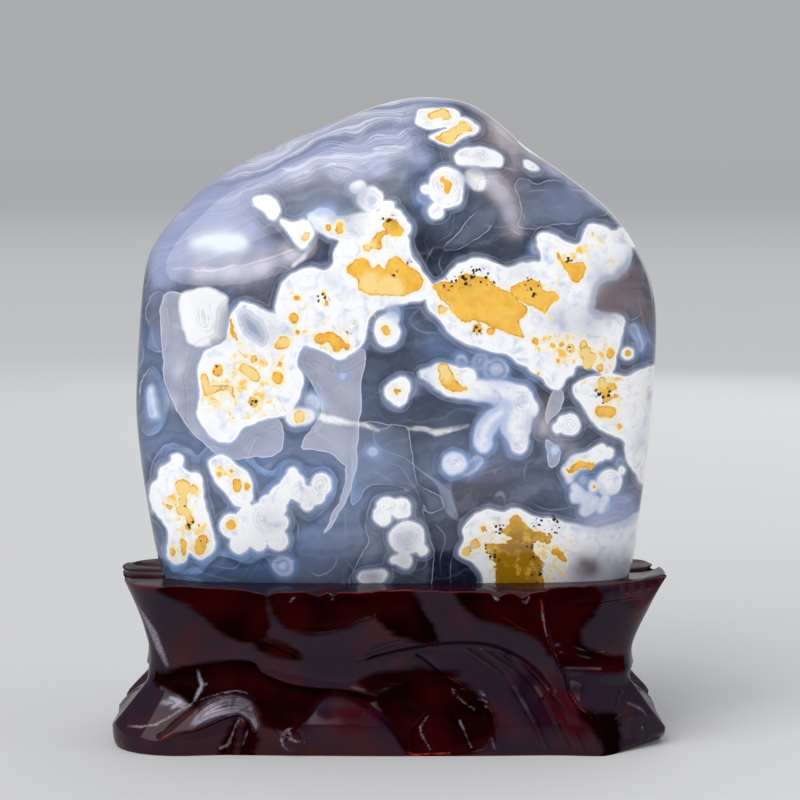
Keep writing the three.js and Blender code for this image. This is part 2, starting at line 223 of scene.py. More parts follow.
def pixel_ray(x, y):
    forward, up = view_axes()
    half = PICTURE_SIDE / 2
    right = np.array([1.0, 0, 0])
    direction = forward + right * (x - half) / FOCAL_PIXELS - up * (y - half) / FOCAL_PIXELS
    return eye_place(), direction / np.linalg.norm(direction)


# The stone's shape


def polar_outline():
    """Angles about the stone's centre, and the outline's reach at each."""
    curve = smooth_curve(FACE_OUTLINE, 24, closed=True) - np.array(STONE_CENTRE)
    angle = np.arctan2(curve[:, 1], curve[:, 0])
    order = np.argsort(angle)
    return angle[order], np.hypot(curve[:, 0], curve[:, 1])[order]


def hollow_depth(x, z, depth):
    """How deep the polished hollow of the face is at each place."""
    lip = smooth_curve(FACE_HOLLOW_LIP, 8, closed=False)
    height = z - np.interp(x, lip[:, 0], lip[:, 1])
    across = np.clip((x - FACE_HOLLOW_MIDDLE) / FACE_HOLLOW_HALF, -1, 1)
    ends = (1 - across**2) ** 0.8
    above = np.exp(-np.maximum(height, 0) / FACE_HOLLOW_FADE)
    below = np.clip(1 + height / FACE_HOLLOW_END, 0, 1)
    return depth * ends * np.where(height > 0, above, below)


def stone_points(directions, look):
    """Where the stone's skin lies in each direction from its middle."""
    dx, dy, dz = directions.T
    front = dy < 0
    fullness = np.where(front, look.face_fullness, look.back_fullness)
    angle = np.arctan2(dz, dx)
    angles, reaches = polar_outline()
    reach = np.interp(angle, angles, reaches, period=2 * math.pi)
    reach = reach * np.hypot(dx, dz) ** (2 / fullness)
    x = STONE_CENTRE[0] + reach * np.cos(angle)
    z = STONE_CENTRE[1] + reach * np.sin(angle)
    depth = np.where(front, look.face_depth, look.back_depth) / MM
    y = np.sign(dy) * depth * np.abs(dy) ** (2 / fullness)
    # broad, shallow swellings, as a stone ground by hand has
    swell = 0.6 * np.sin(x / 27 + 1) * np.sin(z / 31) + 0.35 * np.sin(x / 14 - z / 17 + 2)
    y = y + swell * np.abs(dy)
    y = y + hollow_depth(x, z, look.hollow_depth / MM) * smoothstep(0.2, 0.6, -dy)
    y = y + CROWN_LEAN * smoothstep(170, 260, z)
    return np.column_stack([x, y, z])


def unit_ball(divisions):
    """A ball of even triangles, with those that face the front divided once more."""
    ball = bmesh.new()
    bmesh.ops.create_icosphere(ball, subdivisions=divisions, radius=1)
    front = [e for e in ball.edges if all(v.co.y < FINER_FRONT for v in e.verts)]
    bmesh.ops.subdivide_edges(ball, edges=front, cuts=1, use_grid_fill=True)
    bmesh.ops.triangulate(ball, faces=[f for f in ball.faces if len(f.verts) > 3])
    return ball


def shape_stone(ball, look):
    """Turns the ball into the stone, cut flat where it sits in its socket."""
    directions = np.array([v.co.normalized() for v in ball.verts])
    for vert, place in zip(ball.verts, stone_points(directions, look)):
        vert.co = place
    cut = bmesh.ops.bisect_plane(
        ball,
        geom=ball.verts[:] + ball.edges[:] + ball.faces[:],
        plane_co=(0, 0, SEAT_HEIGHT),
        plane_no=(0, 0, 1),
        clear_inner=True,
    )
    rim = [e for e in cut["geom_cut"] if isinstance(e, bmesh.types.BMEdge)]
    bmesh.ops.holes_fill(ball, edges=rim)
    bmesh.ops.triangulate(ball, faces=[f for f in ball.faces if len(f.verts) > 3])
    bmesh.ops.recalc_face_normals(ball, faces=ball.faces)
    return ball


# The stone's pattern, by the pixels that show it. A chain is a ball, (x, y, radius), or a row of them.

WHITE_OUTLINES = {
    "upper_mass": [
        (307, 217), (325, 211), (337, 218), (354, 215), (371, 212), (385, 211), (400, 209), (407, 222),
        (407, 238), (412, 255), (423, 272), (429, 285), (423, 300), (407, 302), (390, 304), (373, 313),
        (366, 326), (361, 345), (352, 354), (343, 360), (335, 358), (325, 352), (312, 349), (304, 347),
        (298, 354), (296, 364), (302, 375), (300, 390), (294, 408), (280, 416), (250, 423), (240, 430),
        (233, 440), (223, 442), (211, 437), (204, 426), (199, 416), (200, 402), (198, 385), (199, 368),
        (202, 355), (211, 348), (226, 341), (229, 325), (233, 312), (242, 303), (254, 305), (268, 312),
        (278, 313), (277, 305), (280, 288), (290, 276), (306, 269), (320, 271), (333, 265), (335, 254),
        (342, 241), (330, 236), (316, 228),
    ],
    "right_mass": [
        (428, 287), (441, 280), (450, 272), (459, 264), (473, 259), (487, 260), (497, 265), (508, 267),
        (522, 264), (539, 262), (541, 254), (538, 245), (537, 236), (544, 232), (554, 235), (563, 240),
        (573, 243), (581, 241), (585, 231), (592, 224), (604, 226), (614, 231), (624, 229), (633, 236),
        (631, 254), (626, 267), (616, 278), (607, 280), (598, 287), (593, 302), (592, 311), (604, 315),
        (616, 314), (624, 322), (621, 340), (618, 358), (612, 372), (603, 373), (590, 367), (577, 366),
        (573, 373), (566, 380), (559, 389), (551, 386), (541, 377), (533, 373), (528, 365), (518, 361),
        (508, 355), (498, 353), (485, 349), (470, 345), (457, 338), (446, 329), (440, 321), (432, 313),
        (427, 306),
    ],
    "right_edge_mass": [
        (574, 389), (577, 383), (584, 379), (594, 376), (606, 374), (620, 376), (630, 376), (640, 371),
        (662, 366), (662, 420), (654, 470), (644, 484), (636, 474), (630, 464), (625, 452), (622, 440),
        (612, 433), (603, 429), (592, 419), (585, 408), (579, 399),
    ],
    "foot_mass": [
        (463, 528), (471, 519), (481, 512), (493, 510), (502, 511), (514, 508), (526, 512), (538, 518),
        (555, 521), (576, 525), (598, 527), (620, 524), (648, 512), (640, 560), (630, 600), (540, 600),
        (485, 592), (483, 580), (479, 570), (472, 562), (462, 557), (460, 551), (463, 545), (466, 538),
    ],
    "left_foot_mass": [
        (150, 488), (158, 479), (161, 467), (171, 461), (172, 455), (178, 454), (182, 459), (181, 467),
        (187, 471), (197, 473), (202, 482), (204, 496), (206, 510), (211, 522), (213, 537), (214, 549),
        (204, 560), (195, 556), (189, 551), (185, 559), (176, 565), (168, 559), (167, 550), (170, 543),
        (168, 530), (157, 513), (151, 502),
    ],
    "oblong": [
        (209, 463), (215, 456), (223, 454), (230, 458), (237, 466), (247, 473), (252, 483), (253, 492),
        (251, 501), (244, 506), (235, 504), (227, 494), (219, 485), (212, 475),
    ],
    "crown_patch": [
        (430, 138), (434, 133), (447, 128), (456, 122), (463, 119), (473, 121), (480, 127), (476, 132),
        (466, 135), (456, 140), (447, 145), (438, 143),
    ],
    "teardrop": [
        (254, 202), (261, 197), (269, 197), (277, 202), (280, 210), (276, 218), (269, 218), (261, 211),
    ],
    "cone": [
        (280, 220), (294, 224), (304, 221), (313, 233), (309, 241), (304, 247), (295, 243), (287, 231),
    ],
}

WHITE_CHAINS = [
    (371, 200, 12), (357, 187, 6), (389, 207, 7), (404, 228, 7), (387, 331, 13),
    [(392, 318, 6), (384, 325, 8)], [(428, 118, 11), (447, 117, 12)],
    [(463, 157, 8), (480, 157, 10), (493, 159, 9)], [(448, 183, 16), (447, 192, 16)], (427, 189, 5),
    (437, 211, 7), (531, 166, 7), [(520, 142, 2), (530, 149, 4), (538, 156, 2)],
    [(293, 417, 7), (307, 416, 7)], [(394, 392, 8), (404, 385, 7), (399, 399, 7)],
    [(424, 374, 4), (440, 377, 12), (455, 381, 14), (466, 378, 11)],
    [(450, 386, 8), (475, 390, 9), (500, 392, 9), (520, 398, 12), (531, 408, 8)],
    [(519, 408, 11), (517, 428, 13), (519, 446, 8)],
    [(502, 412, 7), (493, 419, 8), (484, 432, 8), (484, 444, 7)], (454, 464, 11), (569, 424, 11),
    (557, 429, 5), [(569, 474, 5), (575, 463, 7), (590, 459, 8), (601, 452, 8)], (609, 453, 5),
    (610, 483, 13), (594, 487, 5), [(594, 502, 5), (586, 510, 4)], [(576, 497, 4), (590, 499, 4)],
    (628, 354, 6), [(366, 577, 6), (380, 576, 7)], [(575, 488, 3), (582, 496, 3), (588, 505, 3)],
    [(600, 508, 4), (606, 500, 3)], (622, 470, 4), [(570, 480, 3), (566, 470, 3)], (233, 526, 12),
    (247, 516, 9), (261, 516, 12), (273, 507, 13), (280, 495, 10), (293, 485, 12), (303, 494, 9),
    (321, 485, 10), (315, 495, 9), (307, 504, 6), (278, 523, 10), (278, 540, 10), (258, 545, 8),
    (240, 545, 9), (292, 473, 5), (250, 533, 9), (264, 529, 11), (387, 506, 9), (383, 516, 8),
    (401, 508, 10), (407, 538, 17), (423, 550, 5), (404, 561, 8), (394, 560, 4),
]

SOFT_OUTLINES = {
    "square_orb": [
        (181, 298), (190, 290), (207, 289), (221, 294), (227, 303), (227, 331), (221, 340), (208, 346),
        (194, 345), (186, 338), (183, 319),
    ],
}
SOFT_CHAINS = [
    [(474, 176, 9), (478, 183, 7)],
    [(314, 416, 3.6), (326, 419, 3.2), (342, 422, 2.4), (360, 426, 1.0), (380, 430, 0)],
    [(408, 428, 0), (424, 429, 0.8), (436, 431, 2.0), (446, 430, 0.8), (470, 427, 0)], (217, 430, 10),
    [(292, 266, 1), (304, 256, 1), (310, 246, 0)],
    # painted highlight: a thin white line along the crisp top of the crescent under the hollow's lip
    [(174, 267, -1), (196, 270, -0.6), (222, 269, -0.4), (246, 266, -0.3), (268, 260, -0.4),
     (288, 251, -0.6), (300, 246, -1)],
    [(280, 170, -0.8), (306, 172, -0.4), (334, 164, -0.6)],
    [(375, 149, -0.4), (388, 146, -0.2), (404, 147, -0.6)],
]

BLUE_CHAINS = [
    (393, 312, 7), (312, 402, 7), (496, 371, 11), (283, 566, 9), (257, 328, 11),
    [(424, 198, 6), (429, 203, 4)], (508, 413, 5), [(150, 396, 4), (152, 412, 5)], (480, 362, 8),
    (536, 250, 5), [(634, 330, 5), (640, 345, 5)], (460, 360, 6), (553, 450, 4),
    [(466, 470, 6), (478, 460, 5)], (583, 480, 4), (604, 505, 6), (620, 462, 5), (373, 452, 4),
    (344, 377, 3),
]

HOLE_CHAINS = [
    [(247, 317, 8), (253, 327, 11), (261, 338, 7)], (371, 200, 3),
]

YELLOW_OUTLINES = {
    "upper": [
        (347, 269), (352, 261), (359, 258), (367, 261), (371, 269), (379, 264), (386, 269), (391, 259),
        (398, 256), (406, 263), (413, 268), (421, 275), (420, 288), (407, 295), (390, 295), (374, 295),
        (359, 290), (357, 279),
    ],
    "upper_right": [(383, 224), (391, 218), (399, 222), (404, 231), (398, 237), (389, 236), (385, 230)],
    "large": [
        (430, 285), (442, 281), (455, 281), (462, 274), (476, 275), (487, 279), (497, 286), (511, 293),
        (521, 303), (527, 309), (525, 316), (519, 320), (521, 328), (525, 340), (513, 336), (500, 331),
        (486, 324), (476, 321), (464, 322), (454, 316), (447, 305), (438, 297),
    ],
    "beside_large": [
        (511, 290), (521, 283), (533, 279), (542, 285), (544, 291), (554, 293), (558, 300), (549, 307),
        (543, 314), (536, 308), (525, 304), (514, 297),
    ],
    "right_lobe": [
        (557, 252), (564, 259), (572, 262), (584, 262), (587, 269), (578, 281), (571, 280), (568, 273),
        (562, 265),
    ],
    "foot": [
        (510, 516), (518, 515), (528, 525), (533, 531), (550, 536), (549, 543), (540, 543), (535, 541),
        (533, 551), (545, 566), (543, 573), (541, 588), (500, 588), (497, 571), (495, 561), (485, 552),
        (487, 545), (500, 545), (513, 538), (503, 535), (502, 530), (509, 523),
    ],
    "crown": [
        (434, 138), (445, 130), (457, 126), (463, 122), (474, 128), (466, 132), (457, 136), (452, 142),
        (444, 143),
    ],
}

YELLOW_CHAINS = [
    [(373, 245, 4), (378, 236, 4), (384, 234, 3)], (366, 248, 4), (379, 246, 4),
    [(329, 226, 3), (329, 229, 2)], [(340, 224, 4), (340, 229, 4)], (306, 236, 4), (298, 298, 3),
    (323, 295, 3), (326, 304, 3), (294, 319, 5), (296, 332, 3), [(284, 342, 6), (279, 347, 4)],
    [(231, 318, 1), (232, 332, 2), (240, 346, 1.5)],
    [(319, 340, 5), (330, 336, 5), (337, 343, 6), (337, 349, 4)], (347, 347, 4), (347, 331, 2),
    (374, 316, 2), (386, 330, 5),
    [(204, 376, 4), (206, 392, 5), (216, 390, 4), (230, 388, 3), (234, 398, 2)], (219, 370, 6),
    [(244, 367, 5), (256, 376, 6)], (253, 359, 4), (278, 378, 6), (280, 366, 3), (253, 403, 5),
    [(216, 405, 1), (228, 408, 1), (232, 420, 1)], (300, 416, 6), (183, 487, 9), (194, 490, 5),
    (183, 501, 6), [(164, 501, 2), (171, 506, 3)], [(181, 511, 6), (189, 513, 4)], (190, 521, 5),
    (188, 528, 4), (199, 526, 2), [(203, 540, 6), (200, 549, 6)], [(183, 543, 4), (183, 553, 3)],
    (172, 552, 4), (220, 475, 3), (232, 471, 2), [(236, 483, 4), (237, 488, 4)], (247, 488, 4),
    (232, 524, 5), [(431, 116, 4), (442, 113, 6), (446, 117, 4)],
    [(443, 178, 3), (448, 184, 4), (446, 192, 3)], (442, 311, 5), (478, 329, 5), (491, 331, 4),
    (536, 341, 4), (593, 236, 2), (571, 348, 5), (586, 353, 6), (611, 354, 5), (552, 345, 3),
    (562, 343, 3), [(590, 359, 7), (588, 365, 5)], (600, 368, 4), (558, 362, 3), (538, 374, 2),
    (583, 344, 4), (628, 354, 3), [(605, 388, 7), (613, 386, 4)], (602, 380, 5), (607, 398, 5),
    (615, 396, 3), [(600, 412, 5), (612, 412, 5)], (619, 427, 3), [(443, 368, 5), (447, 377, 6)],
    [(441, 382, 4), (455, 386, 5), (466, 388, 2)], (398, 392, 4),
    [(571, 471, 4), (580, 464, 4), (592, 466, 4)], (595, 487, 2), (484, 529, 3), (468, 552, 5),
    (476, 545, 5), [(556, 552, 4), (562, 560, 3)],
]

# Paler yellows, and the spots where dark specks lie thickest.
PALE_CHAINS = [
    (256, 376, 9), [(205, 384, 9), (228, 388, 7)], (248, 368, 9), (368, 282, 10), (390, 290, 14),
    (268, 402, 13), (242, 381, 12), (366, 247, 10), (437, 118, 14), (284, 342, 6), (460, 133, 18),
    (300, 416, 10), (183, 500, 20), (588, 350, 22), (468, 552, 12), (442, 311, 10), (602, 380, 8),
    (575, 245, 18), (443, 372, 10),
]
SPECK_CHAINS = [
    [(448, 283, 7), (476, 274, 8), (492, 281, 4)], [(522, 283, 4), (538, 281, 6)],
    [(528, 297, 5), (536, 289, 5)], [(386, 221, 4), (395, 219, 3)], (410, 262, 3), (396, 274, 3),
    (219, 370, 6), (253, 403, 5), (323, 300, 7), (347, 331, 3), (166, 503, 4), (183, 503, 4),
    (189, 523, 6), (203, 541, 6), (320, 340, 4), [(552, 527, 10), (540, 524, 6)], (530, 545, 5),
    (547, 544, 4), (500, 528, 6), [(487, 549, 5), (497, 558, 4)], (532, 558, 4), (538, 575, 8),
    (604, 395, 9), (569, 259, 4), (594, 237, 3), (570, 348, 3), (447, 187, 4), (398, 391, 3),
    (478, 331, 5),
]

# Milky veils. Those on the left and in the middle, with the tail below, are a painted reflection: soft
# light mirrored in a broad polished facet, painted as pale veils.
VEILS_AND_REFLECTION = {
    "left": [
        (163, 296), (161, 330), (163, 362), (167, 389), (178, 412), (190, 431), (205, 445), (226, 457),
        (252, 457), (279, 453), (280, 421), (240, 400), (215, 360), (200, 320), (186, 296),
    ],
    "middle": [
        (297, 352), (305, 346), (325, 351), (345, 360), (362, 348), (366, 358), (362, 384), (359, 416),
        (357, 440), (356, 468), (347, 465), (331, 453), (312, 449), (300, 449), (306, 436), (318, 420),
        (322, 408), (318, 394), (304, 372), (297, 362),
    ],
    "tail": [
        (356, 462), (355, 475), (347, 497), (336, 517), (323, 535), (334, 510), (344, 487), (347, 466),
    ],
    "strip": [(553, 389), (563, 392), (562, 407), (553, 419), (547, 426), (547, 414), (550, 401)],
    "wedge": [(545, 440), (556, 448), (560, 459), (554, 468), (549, 466), (546, 454)],
}

# Closed shapes of the ground that only a thin line and a lighter tone show.
SHAPE_OUTLINES = {
    "lozenge": [(443, 251), (458, 231), (474, 214), (497, 204), (495, 222), (481, 238), (463, 247)],
    "left_foot": [
        (150, 476), (153, 462), (162, 448), (176, 444), (188, 449), (198, 457), (207, 448), (220, 447),
        (234, 457), (250, 458), (260, 466), (273, 471), (284, 462), (296, 459), (309, 468), (328, 469),
        (336, 482), (331, 503), (321, 515), (309, 521), (297, 516), (292, 528), (291, 545), (293, 562),
        (287, 572), (276, 569), (266, 558), (250, 564), (235, 558), (219, 556), (208, 566), (198, 573),
        (177, 573), (166, 563), (160, 545), (150, 518), (143, 496),
    ],
    "middle_foot": [
        (400, 490), (385, 492), (374, 498), (369, 510), (366, 525), (368, 542), (361, 557), (355, 568),
        (352, 585), (380, 600), (420, 600), (432, 575), (434, 552), (428, 532), (424, 514), (422, 499),
        (413, 490),
    ],
    "middle_fold": [
        (356, 427), (400, 425), (409, 430), (414, 450), (416, 480), (426, 490), (441, 499), (443, 508),
        (428, 513), (420, 497), (395, 484), (372, 486), (352, 506), (352, 470),
    ],
    "left_rim_ring": [
        (147, 368), (158, 372), (166, 390), (167, 414), (158, 431), (146, 436), (139, 420), (139, 390),
    ],
    "left_rim_cell": [(149, 297), (166, 298), (167, 345), (149, 346)],
    "right_cell": [(622, 300), (640, 290), (646, 306), (632, 321)],
    "right_shoulder": [
        (514, 188), (520, 180), (536, 183), (556, 180), (572, 189), (605, 196), (632, 206), (650, 232),
        (620, 216), (592, 217), (572, 224), (548, 225), (530, 230), (518, 226), (522, 212), (518, 198),
    ],
}

# Soft fans of milk that fade towards one side, the crescent among them painted pale as light on its
# upward face, and thin rings inside the patches.
FANS_AND_LIT_CRESCENT = {
    "crown": [
        (452, 172), (470, 160), (488, 166), (502, 178), (514, 193), (521, 212), (524, 236), (512, 231),
        (498, 222), (470, 214), (450, 196),
    ],
    # painted light: the crescent under the hollow's lip, pale where its upward face catches the light
    "crescent": [
        (176, 268), (196, 270), (220, 269), (245, 266), (268, 260), (288, 251), (300, 245), (311, 251),
        (304, 262), (288, 272), (264, 279), (236, 283), (208, 284), (186, 279),
    ],
}
RING_CHAINS = [
    [(204, 309, 4), (206, 322, 5)], (371, 200, 5), (610, 483, 7), (454, 464, 5), (407, 538, 9),
    (480, 157, 4), (531, 166, 3), (319, 486, 5), (569, 424, 6), (373, 577, 6), (387, 506, 4),
    (349, 232, 3), (448, 185, 10), (523, 402, 6), (595, 487, 4), (261, 518, 6),
]

# The back, as (x, z, radius) in millimetres, and its clouds with a strength as well.
BACK_WHITE = [
    [(16, 208, 13), (38, 198, 19), (56, 182, 16), (54, 162, 11), (44, 146, 9)], (30, 224, 8),
    (70, 190, 8), [(30, 140, 6), (44, 146, 8)], (74, 172, 5), [(56, 182, 6), (80, 176, 3)],
    [(-80, 174, 9), (-60, 162, 16), (-38, 150, 14), (-18, 141, 9), (0, 147, 7)], (-68, 184, 8),
    [(-46, 134, 10), (-38, 124, 6)], (-84, 158, 6), [(-18, 141, 5), (-8, 128, 3)],
    [(-74, 108, 9), (-52, 100, 15), (-34, 92, 12), (-22, 104, 6)], (-62, 84, 8), (-44, 76, 7),
    [(14, 100, 10), (34, 91, 16), (54, 95, 12), (66, 104, 8)], (44, 72, 9), (10, 82, 6),
    [(80, 134, 9), (86, 122, 7)], (86, 152, 5), (-88, 132, 6), [(6, 176, 6), (-2, 166, 3)],
    [(-26, 198, 8), (-14, 206, 6)], [(4, 122, 7), (12, 115, 4)], [(6, 232, 7), (20, 237, 5)],
    (74, 110, 4), [(-14, 74, 8), (2, 70, 7)], (86, 82, 7), (-4, 102, 4), (-52, 208, 4),
]
BACK_YELLOW = [
    [(30, 203, 5), (42, 192, 9), (50, 178, 7)], [(22, 212, 3), (18, 206, 3)], (48, 148, 4), (60, 190, 3),
    [(-68, 166, 3), (-60, 162, 6), (-48, 154, 7)], [(-32, 147, 5), (-26, 142, 3)],
    [(-58, 104, 4), (-50, 100, 7)], (-36, 92, 5), (-64, 84, 3), [(26, 92, 5), (38, 90, 8)],
    [(54, 96, 5), (62, 102, 3)], (44, 72, 4), (-26, 198, 4), (81, 132, 5), (-14, 74, 4), (4, 122, 3),
    (-46, 133, 4), (8, 233, 3),
]
BACK_PALE = [(30, 203, 8), (-60, 162, 7), (38, 90, 7), (-14, 74, 6), (-52, 102, 4)]
BACK_SPECKS = [(50, 178, 5), (-48, 154, 5), (26, 92, 5), (-58, 104, 4)]
BACK_RINGS = [(16, 208, 7), (-80, 174, 5), (56, 96, 6), (-74, 108, 5), (-38, 150, 6), (44, 72, 5)]
BACK_BLUE = [(-26, 122, 5), (64, 150, 5), (22, 140, 4), (-84, 92, 5), (70, 76, 4), (28, 170, 4)]
BACK_CLOUDS = {
    "bands": [
        (-40, 226, 24, 0.9), (-12, 240, 20, 0.9), (20, 246, 18, 0.7), (-72, 204, 16, 0.8),
        (60, 224, 14, 0.7),
    ],
    "azure": [
        (0, 88, 16, 0.6), (-88, 116, 12, 0.7), (70, 150, 12, 0.6), (-30, 176, 10, 0.5), (20, 130, 9, 0.6),
    ],
    "lavender": [
        (-60, 205, 22, 0.9), (-30, 228, 22, 1.0), (0, 240, 18, 0.9), (-84, 182, 12, 0.7),
        (70, 212, 12, 0.6),
    ],
    "sky": [
        (-20, 90, 20, 0.8), (60, 120, 18, 0.7), (-90, 120, 14, 0.7), (10, 150, 16, 0.6),
        (80, 170, 14, 0.5),
    ],
    "navy": [
        (-4, 190, 16, 0.8), (-60, 130, 14, 0.7), (60, 70, 14, 0.8), (84, 196, 10, 0.6),
        (20, 122, 10, 0.5),
    ],
    "brown": [(90, 110, 14, 0.8), (-92, 150, 9, 0.7), (-10, 160, 12, 0.4), (30, 232, 12, 0.5)],
    "mist": [(-30, 116, 20, 0.7), (30, 160, 14, 0.5), (0, 212, 14, 0.5), (-76, 76, 12, 0.6)],
    "haze": [
        (14, 210, 9, 0.8), (12, 98, 10, 0.9), (46, 152, 10, 0.8), (-26, 98, 10, 0.9), (-14, 144, 9, 0.9),
    ],
    "mottle": [
        (34, 196, 17, 1.0), (56, 172, 10, 0.8), (-58, 162, 17, 1.0), (-34, 148, 10, 0.8),
        (-56, 100, 16, 1.0), (-36, 92, 9, 0.7), (36, 92, 16, 1.0), (58, 98, 10, 0.8), (-20, 200, 7, 0.6),
        (82, 130, 7, 0.7),
    ],
    "ochre": [(44, 186, 7, 0.6), (34, 88, 6, 0.5)],
    "shade": [(-36, 92, 7, 0.6), (60, 186, 8, 0.5), (18, 98, 7, 0.5)],
}

